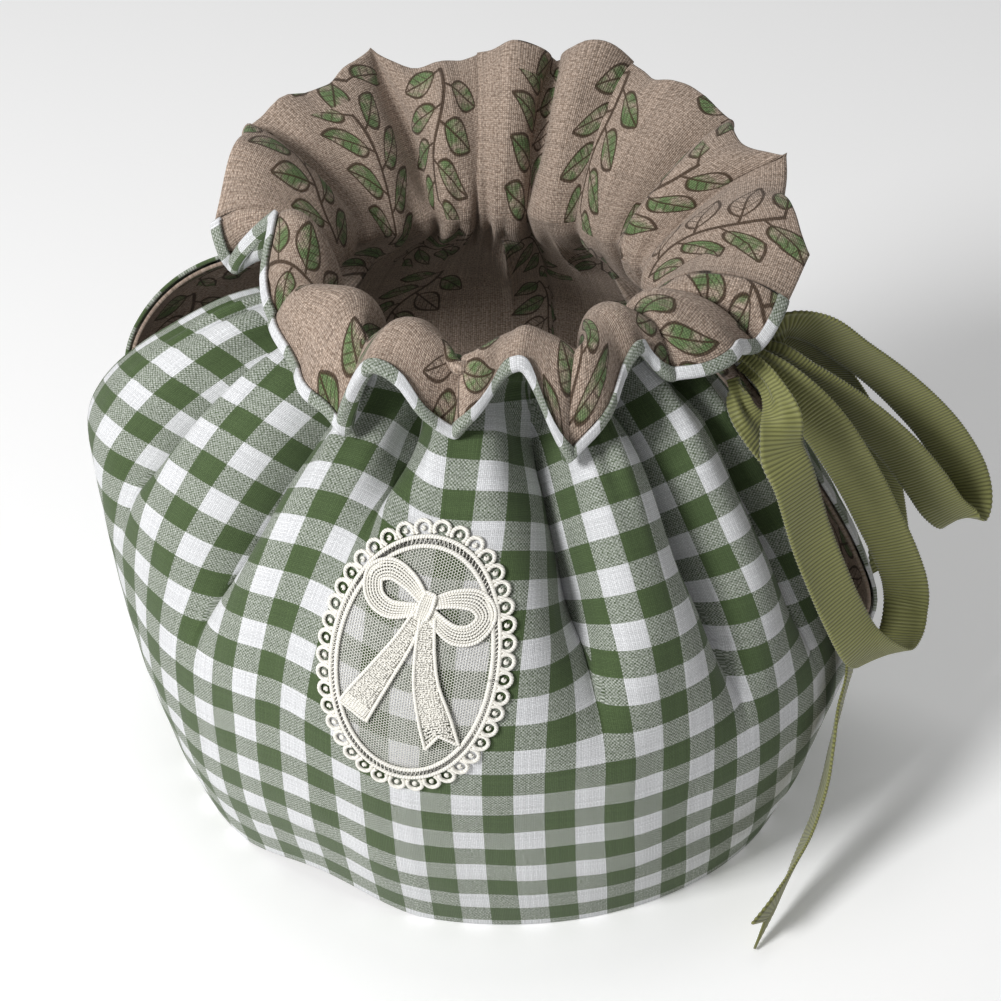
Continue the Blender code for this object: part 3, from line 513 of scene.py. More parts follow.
def cloth_coordinates(lines, grid, place, level):
    """Width and height in the flat cloth, in metres, of each grid point."""
    flat = surface(lines, place, np.minimum(level, NECK), folded=False)
    belly = blend_lines(lines, "belly", place[0])
    middle = np.argmin(np.abs(belly - 90.0 * side_of(lines)))
    run = run_along(flat, axis=1)
    run = run - run[:, middle:middle + 1]
    belly_row = np.argmin(np.abs(level[:, 0] - BELLY_STATION))
    ground = np.where(level < level[belly_row, 0], run, run[belly_row])

    shown = run_along(grid, axis=1)
    steps = (grid.shape[1] - 1) // (len(lines) - 1)
    width = ground.copy()
    for k in range(len(lines) - 1):
        first, last = k * steps, (k + 1) * steps
        puff, crease = (first, last) if lines[k][0] > lines[k + 1][0] else (last, first)
        spare = (ground[:, crease] - ground[:, puff]) - (shown[:, crease] - shown[:, puff])
        span = slice(first, last + 1)
        to_crease = np.abs(shown[:, span] - shown[:, [crease]])
        swallowed = spare[:, None] * smooth(1.0 - to_crease / SWALLOW)
        width[:, span] = ground[:, [puff]] + shown[:, span] - shown[:, [puff]] + swallowed
    neck_row = np.argmin(np.abs(level[:, 0] - NECK))
    rise, up = run_along(flat), run_along(grid)
    height = np.where(level <= NECK, rise, rise[neck_row] + up - up[neck_row])
    return np.stack([width, height], axis=-1)


# %% [markdown]
# ## A sheet with a real thickness
# Each cloth is a closed sheet: an outer face, an inner face and a rim that joins them. The same
# function makes the panels and the ribbon, so that every cloth has an edge that catches light.

# %% Closed sheets
def cloth_layer(mesh, uvs):
    """A UV map for a mesh, from a pair of metres for each point."""
    layer = mesh.uv_layers.new(name="cloth")
    index = np.empty(len(mesh.loops), int)
    mesh.loops.foreach_get("vertex_index", index)
    layer.data.foreach_set("uv", np.asarray(uvs)[index].ravel())


def make_object(name, points, faces, uvs, material):
    """A mesh object at the origin, in the frame's place, with a UV for each point."""
    mesh = bpy.data.meshes.new(name)
    mesh.from_pydata([tuple(point) for point in np.asarray(points) + FROM_NECK], [], faces)
    cloth_layer(mesh, uvs)
    mesh.materials.append(material)
    mesh.shade_smooth()
    return add_object(name, mesh)


def sheet_faces(rows, columns):
    """Quads of a closed sheet whose outer points come first and inner points second."""
    i, j = np.meshgrid(np.arange(rows - 1), np.arange(columns - 1), indexing="ij")
    a = (i * columns + j).ravel()
    outer = np.stack([a, a + 1, a + columns + 1, a + columns], axis=1)
    inner = outer[:, ::-1] + rows * columns
    number = np.arange(rows * columns).reshape(rows, columns)
    loop = np.concatenate([number[0], number[1:, -1], number[-1, -2::-1], number[-2:0:-1, 0]])
    after = np.roll(loop, -1)
    rim = np.stack([after, loop, loop + rows * columns, after + rows * columns], axis=1)
    return np.concatenate([outer, inner, rim]).tolist()


def make_sheet(name, outer, inner, uv, material):
    rows, columns = outer.shape[:2]
    points = np.concatenate([outer.reshape(-1, 3), inner.reshape(-1, 3)])
    points[:, 2] = np.maximum(points[:, 2], 0.0)      # nothing goes below the floor
    uvs = np.concatenate([uv.reshape(-1, 2), uv.reshape(-1, 2)])
    return make_object(name, points, sheet_faces(rows, columns), uvs, material)


def face_outwards(mesh):
    """Turn every face of a closed mesh outwards."""
    shape = bmesh.new()
    shape.from_mesh(mesh)
    bmesh.ops.recalc_face_normals(shape, faces=shape.faces)
    shape.to_mesh(mesh)
    shape.free()


# %% [markdown]
# ## Writing materials
# A woven cloth is best drawn thread by thread from its flat coordinates. Such a material is long
# as a node picture and short as arithmetic. So each node's output is wrapped here in a small
# class, and a sum that is written with it adds the nodes that work the sum out.

# %% Node arithmetic
class Output:
    """What a node gives. A sum written with it adds the node that works the sum out."""

    def __init__(self, sums, socket):
        self.sums, self.socket = sums, socket

    def __add__(self, other):
        return self.sums.math("ADD", self, other)

    def __sub__(self, other):
        return self.sums.math("SUBTRACT", self, other)

    def __rsub__(self, other):
        return self.sums.math("SUBTRACT", other, self)

    def __mul__(self, other):
        return self.sums.math("MULTIPLY", self, other)

    def __truediv__(self, other):
        return self.sums.math("DIVIDE", self, other)

    def __mod__(self, other):
        return self.sums.math("FLOORED_MODULO", self, other)

    def __lt__(self, other):
        return self.sums.math("LESS_THAN", self, other)

    def __gt__(self, other):
        return self.sums.math("GREATER_THAN", self, other)

    def __abs__(self):
        return self.sums.math("ABSOLUTE", self)

    def floor(self):
        return self.sums.math("FLOOR", self)

    def fraction(self):
        return self.sums.math("FRACT", self)

    def sine(self):
        return self.sums.math("SINE", self)


class Sums:
    """Adds nodes to a material and wires them up."""

    def __init__(self, material):
        self.nodes = material.node_tree.nodes
        self.links = material.node_tree.links
        self.shader = self.nodes["Principled BSDF"]

    def put(self, socket, value):
        """Wire an output to a socket, or set the socket to a plain value."""
        if isinstance(value, Output):
            self.links.new(value.socket, socket)
        else:
            socket.default_value = value

    def make(self, kind, inputs=(), **settings):
        made = self.nodes.new(kind)
        for name, value in settings.items():
            setattr(made, name, value)
        for key, value in dict(inputs).items():
            self.put(made.inputs[key], value)
        return made

    def node(self, kind, inputs=(), **settings):
        """Add a node and give its first output."""
        return Output(self, self.make(kind, inputs, **settings).outputs[0])

    def math(self, operation, *values):
        return self.node("ShaderNodeMath", enumerate(values), operation=operation)

    def largest(self, first, *others):
        for other in others:
            first = self.math("MAXIMUM", first, other)
        return first

    def parts(self, vector):
        """The three numbers of a vector."""
        split = self.make("ShaderNodeSeparateXYZ", {0: vector})
        return [Output(self, socket) for socket in split.outputs]

    def mix(self, share, first, second, blend="MIX"):
        """Mix two colours."""
        colours = [value if isinstance(value, Output) else (*value, 1.0) for value in (first, second)]
        made = self.make("ShaderNodeMix", data_type="RGBA", blend_type=blend, clamp_factor=True)
        for socket, value in zip((made.inputs[0], made.inputs[6], made.inputs[7]), (share, *colours)):
            self.put(socket, value)
        return Output(self, made.outputs[2])

    def ramp(self, value, low, high):
        """0 below low, 1 above high."""
        inputs = enumerate((value, low, high, 0.0, 1.0))
        return self.node("ShaderNodeMapRange", inputs, interpolation_type="SMOOTHSTEP", clamp=True)

    def clouds(self, vector, scale, detail):
        """Soft random patches."""
        return self.node("ShaderNodeTexNoise", {"Vector": vector, "Scale": scale, "Detail": detail})

    def finish(self, colour, height, strength, distance):
        """Give the shader its colour and a bump."""
        self.put(self.shader.inputs["Base Color"], colour)
        inputs = {"Strength": strength, "Distance": distance, "Height": height}
        self.put(self.shader.inputs["Normal"], self.node("ShaderNodeBump", inputs))


def new_material(name, roughness, sheen):
    material = bpy.data.materials.new(name)
    material.use_nodes = True
    sums = Sums(material)
    for title, value in (("Roughness", roughness), ("Sheen Weight", sheen), ("Sheen Roughness", 0.5),
                         ("Specular IOR Level", 0.25)):
        sums.shader.inputs[title].default_value = value
    return material, sums


def srgb(red, green, blue):
    """A linear colour from the 0 to 255 numbers of a paint chart."""
    return tuple(((c / 255.0 + 0.055) / 1.055) ** 2.4 if c > 10 else c / 255.0 / 12.92
                 for c in (red, green, blue))


# %% [markdown]
# ## Gingham
# Gingham is a plain weave with bands of green and white threads of equal width both ways. A
# thread that lies on top shows its own colour, so green over green is solid, white over white is
# white and the mixed squares are speckled. The material works out which thread is on top at each
# point, raises it by bump, and paints the dips between threads darker as painted shade.

# %% The weave
WAVE = 2.0 * math.pi
GINGHAM_THREAD, LINEN_THREAD = 0.36, 0.42    # millimetres


def weave(sums, thread):
    """Nodes of a plain weave: which thread is on top, and its height."""
    uv = sums.node("ShaderNodeUVMap", uv_map="cloth")
    across, up = (part * 1000.0 for part in sums.parts(uv)[:2])
    column, row = across / thread, up / thread
    height = (column.fraction() * math.pi).sine() * (row.fraction() * math.pi).sine()
    column, row = column.floor(), row.floor()
    return {"uv": uv, "across": across, "up": up, "column": column, "row": row, "height": height,
            "warp_on_top": sums.math("PINGPONG", column + row, 1.0)}


def thread_tint(sums, cells, low, high):
    """A random brightness for each thread on top."""
    warp = sums.node("ShaderNodeTexWhiteNoise", {"W": cells["column"]}, noise_dimensions="1D")
    weft = sums.node("ShaderNodeTexWhiteNoise", {"W": cells["row"] + 5000.0}, noise_dimensions="1D")
    pick = sums.node("ShaderNodeMix", {0: cells["warp_on_top"], 2: weft, 3: warp})
    fine = sums.clouds(cells["uv"], 2600.0, 1.0)
    return (pick * (high - low) + low) * (fine * 0.5 + 0.75)


def tinted(sums, colour, *strengths):
    """A colour whose red, green and blue are each made weaker."""
    grey = sums.node("ShaderNodeCombineColor", enumerate(strengths))
    return sums.mix(1.0, colour, grey, "MULTIPLY")


# %% The gingham material
CHECK_ACROSS, CHECK_UP = 6.2, 5.81        # millimetres
PHASE_ACROSS, PHASE_UP = 0.146, 0.395     # where the first green band starts, in checks
MIXED_LOSS = (0.29, 0.26, 0.34)           # red, green and blue that the speckled squares lose


def make_gingham():
    material, sums = new_material("gingham_cotton", 0.85, 0.15)
    cells = weave(sums, GINGHAM_THREAD)
    white, green = srgb(223, 224, 226), srgb(76, 94, 58)
    green_warp = (cells["across"] / CHECK_ACROSS - PHASE_ACROSS) % 2.0 < 1.0
    green_weft = (cells["up"] / CHECK_UP - PHASE_UP) % 2.0 < 1.0
    blot = sums.clouds(cells["uv"], 2300.0, 3.0)
    top = cells["warp_on_top"] * 0.45 + (blot * 1.7 - 0.58)
    colour = sums.mix(top, sums.mix(green_weft, white, green), sums.mix(green_warp, white, green))
    mixed = abs(green_warp - green_weft)
    # Painted shade: the colour is darkened where each thread dips, following its height.
    strength = thread_tint(sums, cells, 0.86, 1.08) * (cells["height"] * 0.34 + 0.76)
    colour = tinted(sums, colour, *(strength * (1.0 - mixed * loss) for loss in MIXED_LOSS))
    sums.finish(colour, cells["height"], 0.5, 0.00012)
    return material


gingham = make_gingham()
print("gingham: checks", CHECK_ACROSS, "mm, threads", GINGHAM_THREAD, "mm")

# %% [markdown]
# ## Printed linen
# The lining is a natural linen with uneven threads and a print of leafy sprigs, drawn in brown
# outline with a wash of green inside most leaves. A real print repeats in blocks, and so does
# this one: each block holds one sprig, turned and mirrored by its own random number. A leaf is
# the space inside a lens shape, and the slanted repeat along the stem gives a leaf each step.

# %% The sprigs, in millimetres
SPRIG_ACROSS, SPRIG_UP = 29.0, 37.0       # a block of the print
LEAF_STEP, LEAF_LENGTH, LEAF_WIDTH = 8.8, 10.4, 2.6
LEAF_SLANT = math.radians(52.0)
LEAVES = 2.0                              # to each side of the stem's middle
STALK = 1.7                               # from the stem to a leaf
STEM_HALF = 15.6                          # half the stem's length
LINE_HALF = 0.28                          # half the width of a drawn line
VEIN_STEP = 1.7


def sprig_block(sums, cells):
    """Each block's own coordinates along and beside its sprig, and its random number."""
    column = (cells["across"] / SPRIG_ACROSS).floor()
    lifted = cells["up"] + column % 2.0 * (SPRIG_UP * 0.2)
    row = (lifted / SPRIG_UP).floor()
    x = cells["across"] - (column + 0.5) * SPRIG_ACROSS
    y = lifted - (row + 0.5) * SPRIG_UP
    key = sums.node("ShaderNodeCombineXYZ", {0: column, 1: row, 2: 3.0})
    chance = sums.node("ShaderNodeTexWhiteNoise", {"Vector": key}, noise_dimensions="3D")
    flip = sums.math("ROUND", (chance * 7.0).fraction()) * math.pi
    turn = chance * 0.9 + 1.12 + flip
    place = sums.node("ShaderNodeCombineXYZ", {0: x, 1: y})
    turned = sums.node("ShaderNodeVectorRotate", {"Vector": place, "Angle": turn},
                       rotation_type="Z_AXIS")
    along, beside = sums.parts(turned)[:2]
    return along, beside, chance


def line(sums, distance, width):
    """1 on a drawn line of this half width and 0 off it."""
    return 1.0 - sums.ramp(abs(distance), width * 0.6, width * 1.4)


def draw_sprig(sums, cells):
    """How much ink and how much green wash the print has at each point."""
    x, y, chance = sprig_block(sums, cells)
    y = y - (x * 0.16).sine() * 1.6                   # the stem sways
    side, off = sums.math("SIGN", y), abs(y)
    step = (side * (0.22 * LEAF_STEP) + (x - off / math.tan(LEAF_SLANT))) / LEAF_STEP
    number = step.floor()                             # which leaf
    along = off / math.sin(LEAF_SLANT) - STALK        # from the leaf's base
    beside = abs((step.fraction() - 0.5) * (LEAF_STEP * math.sin(LEAF_SLANT)))
    from_middle = abs(number + 0.5)
    share = along / (LEAF_LENGTH - from_middle * 1.2)
    drawn = from_middle < LEAVES
    grown = drawn * ((share > 0.0) * (share < 1.0))
    bow = (sums.math("POWER", sums.largest(share, 0.0), 0.8) * math.pi).sine()
    edge = beside - sums.largest(bow, 0.0) * LEAF_WIDTH
    inside = (edge < 0.0) * grown

    outline = line(sums, edge, LINE_HALF) * grown
    stem = line(sums, y, LINE_HALF * 1.2) * (abs(x) < STEM_HALF)
    rib = line(sums, beside, LINE_HALF * 0.7) * inside
    stalk = line(sums, beside, LINE_HALF) * (along < 0.6) * drawn
    vein = (((along - beside * 0.9) / VEIN_STEP).fraction() < 0.19) * inside
    ink = sums.largest(outline, stem, rib, stalk, vein * 0.7)

    key = sums.node("ShaderNodeCombineXYZ", {0: number, 1: side, 2: chance})
    leaf_chance = sums.node("ShaderNodeTexWhiteNoise", {"Vector": key}, noise_dimensions="3D")
    patches = sums.ramp(sums.clouds(cells["uv"], 260.0, 2.0), 0.30, 0.62)
    return ink, (leaf_chance > 0.12) * inside * patches


# %% The linen material
def make_linen():
    material, sums = new_material("printed_linen", 0.9, 0.1)
    cells = weave(sums, LINEN_THREAD)
    ink, wash = draw_sprig(sums, cells)
    flecks = sums.clouds(cells["uv"], 1900.0, 2.0)
    colour = sums.mix(sums.ramp(flecks, 0.35, 0.7), srgb(198, 178, 162), srgb(148, 128, 112))
    colour = sums.mix(wash * 0.8, colour, srgb(84, 126, 66))
    colour = sums.mix(ink * 0.9, colour, srgb(72, 54, 38))
    # Painted shade: the colour is darkened where each thread dips, following its height.
    strength = thread_tint(sums, cells, 0.80, 1.14) * (cells["height"] * 0.48 + 0.64)
    colour = tinted(sums, colour, strength, strength, strength)
    sums.finish(colour, cells["height"], 0.8, 0.00016)
    return material


linen = make_linen()
print("linen: a sprig in each", SPRIG_ACROSS, "by", SPRIG_UP, "mm")

# %% [markdown]
# ## The two panels
# The gingham lies outside the reference surface and the linen inside. Along the front of the rim
# the gingham is turned over the linen's edge and shows there as a strip about two millimetres
# wide. Along the back the linen is rolled out over the gingham's edge, so none of it shows. Either
# way the cloth's grid runs on round the edge by the short walk written here.

# %% Round the rim
CLOTH = 0.0008            # metres thick
GAP = 0.0003              # from the reference surface to each cloth
EDGE_STRIP = 1.7          # millimetres the gingham comes back over the linen at the front
LINING_START = 3.2        # the station where the lining begins
# Ways round the rim in millimetres: outwards, and up from the reference surface.
GINGHAM_WALK = ((0.45, 0.62), (0.78, 0.36), (0.95, -0.05), (0.98, -0.55), (0.92, -1.1),
                (0.72, -1.5), (0.38, -1.76), (0.0, -1.86),
                *((-EDGE_STRIP * k / 4.0, -1.86) for k in (1, 2, 3, 4)))
LINEN_WALK = ((0.5, -0.7), (0.92, -0.5), (1.12, -0.05), (1.16, 0.5), (1.08, 1.05), (0.85, 1.5),
              (0.45, 1.78), (0.0, 1.86), (-0.5, 1.86))


def linen_coordinates(grid, level):
    """Flat coordinates of the lining, which lies in full round the frill and is gathered below."""
    run = run_along(grid[np.argmin(np.abs(level[:, 0] - (NECK + 0.7)))])
    rise = run_along(grid).mean(axis=1)
    rise = rise - rise[np.argmin(np.abs(level[:, 0] - NECK))]
    return np.stack(np.broadcast_arrays(run[None, :], rise[:, None]), axis=-1)


def walk_round(grid, normal, centre, uv, walk):
    """Carry a cloth's middle and its coordinates on round the rim."""
    out = unit(soften((grid[-1] - grid[-3])[None], 1)[0])
    rows = np.array([grid[-1] + (out * far + normal[-1] * up) * MM for far, up in walk])
    rise = uv[-1, :, 1] + run_along(np.concatenate([centre[-1:], rows]))[1:]
    on = np.stack([np.broadcast_to(uv[-1, :, 0], rise.shape), rise], axis=-1)
    return np.concatenate([centre, rows]), np.concatenate([uv, on])


def white_edge(grid, uv, start):
    """Coordinates from a row on, moved so that the turned strip shows evenly spaced checks."""
    uv = uv.copy()
    rim = run_along(grid[-1])
    pair = 2.0 * CHECK_UP * MM
    white_row = (PHASE_UP + 1.5) * CHECK_UP * MM + pair * np.round(uv[start - 1, :, 1].mean() / pair)
    uv[start:, :, 0] = rim - rim[len(rim) // 2]
    uv[start:, :, 1] += white_row - uv[-3:-2, :, 1]
    return uv


# %% Make the gingham and the linen
def make_cloth(name, middle, uv, material):
    across = unit(soften(soften_across(grid_normals(middle), 6), 2)) * CLOTH * 0.5
    return make_sheet(name, middle + across, middle - across, uv, material)


def cut_size(uv):
    """Flat width and length of a piece in metres, from its own coordinates."""
    flat = uv.reshape(-1, 2)
    return tuple(float(value) for value in flat.max(axis=0) - flat.min(axis=0))


def make_panel(side, lines, steps):
    """The gingham and the linen of one side, and the flat size that each was cut to."""
    grid, place, level = panel_grid(lines, steps)
    uv = cloth_coordinates(lines, grid, place, level)
    normal = unit(soften(soften_across(grid_normals(grid), 10), 3))
    lined = level[:, 0] >= LINING_START
    middle = grid + normal * (GAP + CLOTH * 0.5)
    lining = grid[lined] - normal[lined] * (GAP + CLOTH * 0.5)
    lining_uv = linen_coordinates(grid, level)[lined]
    if side == "front":
        rows = len(middle)
        middle, uv = walk_round(grid, normal, middle, uv, GINGHAM_WALK)
        size = cut_size(uv)
        uv = white_edge(grid, uv, rows)
    else:
        lining, lining_uv = walk_round(grid, normal, lining, lining_uv, LINEN_WALK)
        size = cut_size(uv)
    lining_size = (size[0], cut_size(lining_uv)[1])    # cut as wide as its gingham
    panel = make_cloth("gingham_" + side + "_cloth", middle, uv, gingham)
    linen_panel = make_cloth("linen_" + side + "_cloth", lining, lining_uv, linen)
    for name, cut in (("panel", size), ("lining", lining_size)):
        print("flat", side, name + ":", (np.array(cut) / MM).round(1), "mm")
    return panel, size, linen_panel, lining_size


gingham_front, cut_front, linen_front, cut_front_linen = make_panel("front", FRONT_LINES, 16)
gingham_back, cut_back, linen_back, cut_back_linen = make_panel("back", BACK_LINES, 14)
for panel in (gingham_front, gingham_back, linen_front, linen_back):
    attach(panel, "root")
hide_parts("gingham_front")
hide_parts("gingham_back")
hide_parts("lining_front")
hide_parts("lining_back")

# %% [markdown]
# ## Lace yarn and net
# The medallion is machine lace: cords of cream yarn closely wrapped with stitches, on a fine net
# that veils the gingham. The yarn's wrapping is far finer than its shape, so it is a bump that
# follows the length of each cord, with painted shade darkening the valleys between stitches.

# %% Lace materials
def make_yarn(name, colour, wrap, valley_shade):
    """Cream yarn whose wrapping stitches follow the cord's own length."""
    material, sums = new_material(name, 0.8, 0.2)
    uv = sums.node("ShaderNodeUVMap", uv_map="cloth")
    round_cord, along_cord = sums.parts(uv)[:2]
    turn = along_cord * (WAVE / (wrap * MM)) + round_cord * (WAVE / (wrap * MM * 3.0))
    height = turn.sine() * 0.5 + 0.5 + sums.clouds(uv, 1800.0, 2.0) * 0.6
    # Painted shade: the valleys between wrapping stitches are darkened by the share given.
    shade_colour = tuple(part * valley_shade for part in colour)
    sums.finish(sums.mix(sums.ramp(height, 0.15, 0.9), shade_colour, colour), height, 0.7, 0.0002)
    return material


yarn = make_yarn("lace_yarn", srgb(250, 247, 238), 0.55, 0.82)
net_yarn = make_yarn("net_yarn", srgb(244, 242, 234), 0.3, 0.9)

# %% [markdown]
# ## Lace is made flat
# Lace is easiest to draw flat, in millimetres across and up from its middle and off the cloth,
# and only then bent round the belly of the cosy. One function does the bending for every piece.
# The cloth under it swells and dips a little, so rays first feel how far the cloth stands off the
# plain body, and the lace follows it.

# %% Bending flat lace on to the cosy
LACE_FLOOR = 0.1           # millimetres off the cloth
LACE_REACH = (27, 37)      # the patch of cloth that is felt, in millimetres each way
LACE_STATIONS = np.linspace(2.0, 10.5, 300)
FEEL_FROM = 6.0            # millimetres off the plain body


def on_front(across, up, lift):
    """Point over the front of the cosy, from millimetres across and up the medallion."""
    lean = math.radians(MEDALLION_LEAN)
    side = across * math.cos(lean) + up * math.sin(lean)
    rise = up * math.cos(lean) - across * math.sin(lean)
    middle_line = np.full_like(LACE_STATIONS, MEDALLION_ANGLE)
    radius, height = body_meridian(middle_line, LACE_STATIONS, FRONT)
    run = run_along(np.stack([radius, height], axis=-1))
    run = run - np.interp(MEDALLION_STATION, LACE_STATIONS, run)
    station = np.interp(rise, run, LACE_STATIONS)
    angle = MEDALLION_ANGLE + np.degrees(side / np.interp(station, LACE_STATIONS, radius))
    r, z = off_meridian(angle, station, FRONT, lift, 0.05)
    theta = np.radians(angle)
    return np.stack([r * np.cos(theta), r * np.sin(theta), z], axis=-1) * MM


def feel_cloth():
    """How far the front panel's outer face stands off the plain surface, at each millimetre."""
    across, up = np.meshgrid(*(np.arange(-reach, reach + 1.0) for reach in LACE_REACH))
    plain = on_front(across, up, 0.0) + FROM_NECK
    off = on_front(across, up, FEEL_FROM) + FROM_NECK
    tree = BVHTree.FromObject(gingham_front, bpy.context.evaluated_depsgraph_get())
    rise = np.zeros(across.shape)
    for spot in np.ndindex(*across.shape):
        ray = Vector(plain[spot] - off[spot])
        place, _, _, distance = tree.ray_cast(Vector(off[spot]), ray, 2.0 * FEEL_FROM * MM)
        rise[spot] = FEEL_FROM - distance / MM if place is not None else 0.0
    rows, columns = rise.shape
    near = np.pad(rise, 1, mode="edge")
    highest = np.max([near[i:i + rows, j:j + columns] for i in range(3) for j in range(3)], axis=0)
    return soften(np.maximum(rise, 0.5 * (rise + highest))[..., None], 2)[..., 0]


cloth_rise = feel_cloth()
print("under the lace the cloth stands up to", cloth_rise.max().round(2), "mm off the plain body")


def rise_at(across, up):
    """The cloth's height between the millimetres that were felt."""
    x = np.clip(across + LACE_REACH[0], 0.0, 2.0 * LACE_REACH[0] - 0.001)
    y = np.clip(up + LACE_REACH[1], 0.0, 2.0 * LACE_REACH[1] - 0.001)
    i, j = y.astype(int), x.astype(int)
    u, v = x - j, y - i
    return ((cloth_rise[i, j] * (1 - u) + cloth_rise[i, j + 1] * u) * (1 - v)
            + (cloth_rise[i + 1, j] * (1 - u) + cloth_rise[i + 1, j + 1] * u) * v)


def mesh_points(mesh):
    points = np.empty(len(mesh.vertices) * 3)
    mesh.vertices.foreach_get("co", points)
    return points.reshape(-1, 3)


def bend_on(obj):
    """Bend a flat mesh, in millimetres, on to the front of the cosy."""
    across, up, height = mesh_points(obj.data).T
    bent = on_front(across, up, rise_at(across, up) + LACE_FLOOR + height) + FROM_NECK
    obj.data.vertices.foreach_set("co", bent.ravel())
    obj.data.update()
    face_outwards(obj.data)
    return obj


def made_real(shape, name):
    """A plain object from a shape whose modifiers are applied, with flat coordinates for yarn."""
    bpy.context.view_layer.update()
    shape_now = shape.evaluated_get(bpy.context.evaluated_depsgraph_get())
    mesh = bpy.data.meshes.new_from_object(shape_now)
    bpy.data.objects.remove(shape, do_unlink=True)
    cloth_layer(mesh, mesh_points(mesh)[:, :2] * MM)
    mesh.shade_smooth()
    return add_object(name, mesh)


# %% [markdown]
# ## Cords
# The thicker parts of the lace are cords of yarn. A cord here is a ring of points that is carried
# along a path, a little flatter than it is wide because it is pressed on the net. Its UV map runs
# along the path, so that the yarn's wrapping follows every bend.

# %% Cords along a path
def tube(path, radius, sides=8, closed=False):
    """Points, faces and UVs of a slightly flattened cord that follows a flat path."""
    path = np.asarray(path, float)
    ahead = np.roll(path, -1, axis=0) - np.roll(path, 1, axis=0)
    if not closed:
        ahead[0], ahead[-1] = path[1] - path[0], path[-1] - path[-2]
    ahead = unit(ahead)
    beside = np.stack([-ahead[:, 1], ahead[:, 0], np.zeros(len(path))], axis=-1)
    turn = np.arange(sides) * WAVE / sides
    ring = path[:, None, :] + beside[:, None, :] * (np.cos(turn) * radius)[None, :, None]
    ring[..., 2] += (np.sin(turn) * radius * 0.75)[None, :]
    run = run_along(path) * MM
    uv = np.stack(np.broadcast_arrays((turn * radius * MM)[None, :], run[:, None]), axis=-1)
    count = len(path)
    faces = []
    for i in range(count if closed else count - 1):
        for j in range(sides):
            a, b = i * sides + j, i * sides + (j + 1) % sides
            c, d = (a + sides) % (count * sides), (b + sides) % (count * sides)
            faces.append((a, b, d, c))
    if not closed:
        faces.append(tuple(range(sides))[::-1])
        faces.append(tuple((count - 1) * sides + j for j in range(sides)))
    return ring.reshape(-1, 3), faces, uv.reshape(-1, 2)


def make_cords(name, tubes):
    """One piece of yarn from several flat tubes, bent on to the cosy."""
    points, faces, uvs, base = [], [], [], 0
    for tube_points, tube_faces, tube_uv in tubes:
        points.append(tube_points)
        uvs.append(tube_uv)
        faces.extend([tuple(k + base for k in face) for face in tube_faces])
        base += len(tube_points)
    flat = np.concatenate(points) - FROM_NECK         # which make_object adds again
    return bend_on(make_object(name, flat, faces, np.concatenate(uvs), yarn))


# %% The medallion's oval
MEDALLION_WIDTH, MEDALLION_HEIGHT = 39.0, 59.5   # millimetres


def oval(share, count, lift=0.0):
    """Points round an oval that is a share of the medallion's size."""
    turn = np.linspace(0.0, WAVE, 721)
    x = 0.5 * MEDALLION_WIDTH * share * np.cos(turn)
    y = 0.5 * MEDALLION_HEIGHT * share * np.sin(turn)
    run = run_along(np.stack([x, y], axis=-1))
    even = np.arange(count) * run[-1] / count
    return np.stack([np.interp(even, run, x), np.interp(even, run, y), np.full(count, lift)], axis=-1)


# %% [markdown]
# ## Net
# The net has six-sided meshes, thousands of them and all alike. Each is a face of one flat mesh
# that shares its corners with its neighbours. Every face is inset and then taken out, so that the
# rims left over are the threads, and the Solidify modifier gives them their thickness.

# %% Make the net
NET_MESH = 0.6            # millimetres between two parallel threads
NET_THREAD = 0.125        # its width
NET_SHARE = (0.83, 0.86)  # of the medallion's width and height
NET_LIFT = NET_THREAD * 0.2 + 0.08


def make_net():
    """Six-sided meshes over the oval: each is inset, opened and given a thickness."""
    side = NET_MESH / math.sqrt(3.0)
    shape = bmesh.new()
    corners = {}

    def corner(x, y):
        key = (round(x * 1000), round(y * 1000))
        if key not in corners:
            corners[key] = shape.verts.new((x, y, NET_LIFT))
        return corners[key]

    half_w = 0.5 * MEDALLION_WIDTH * NET_SHARE[0]
    half_h = 0.5 * MEDALLION_HEIGHT * NET_SHARE[1]
    turns = [k * math.pi / 3.0 for k in range(6)]
    columns, rows = int(half_w / (1.5 * side)) + 1, int(half_h / NET_MESH) + 1
    for column in range(-columns, columns + 1):
        for row in range(-rows, rows + 1):
            x, y = column * 1.5 * side, (row + 0.5 * (column % 2)) * NET_MESH
            if math.hypot(x / half_w, y / half_h) <= 1.0:
                shape.faces.new([corner(x + side * math.cos(turn), y + side * math.sin(turn))
                                 for turn in turns])
    shape.normal_update()
    holes = list(shape.faces)
    bmesh.ops.inset_individual(shape, faces=holes, thickness=NET_THREAD * 0.5)
    bmesh.ops.delete(shape, geom=holes, context="FACES_ONLY")
    mesh = bpy.data.meshes.new("net")
    shape.to_mesh(mesh)
    shape.free()
    flat = add_object("net", mesh)
    wall = flat.modifiers.new("threads", "SOLIDIFY")
    wall.thickness = NET_THREAD * 0.4
    wall.offset = 0.0
    finished = made_real(flat, "lace_net")
    finished.data.materials.clear()
    finished.data.materials.append(net_yarn)
    return bend_on(finished)


net = make_net()
print("net:", len(net.data.polygons), "faces")

# %% [markdown]
# ## Scalloped border with Geometry Nodes
# Round the oval run forty small loops, each with an eyelet in it. They repeat, so a node tree
# makes one loop from an arc and a ring, and sets a copy at each of forty even steps along the
# oval, turned to face outwards. Its inputs have names, so the same tree could edge any oval.

# %% The border's node tree
def new_tree(name, inputs):
    """A node tree with named inputs, and the identifier of each."""
    tree = bpy.data.node_groups.new(name, "GeometryNodeTree")
    tree.interface.new_socket("Geometry", in_out="INPUT", socket_type="NodeSocketGeometry")
    identifiers = {}
    for title, kind in inputs:
        socket = tree.interface.new_socket(title, in_out="INPUT", socket_type=kind)
        identifiers[title] = socket.identifier
    tree.interface.new_socket("Geometry", in_out="OUTPUT", socket_type="NodeSocketGeometry")
    return tree, identifiers


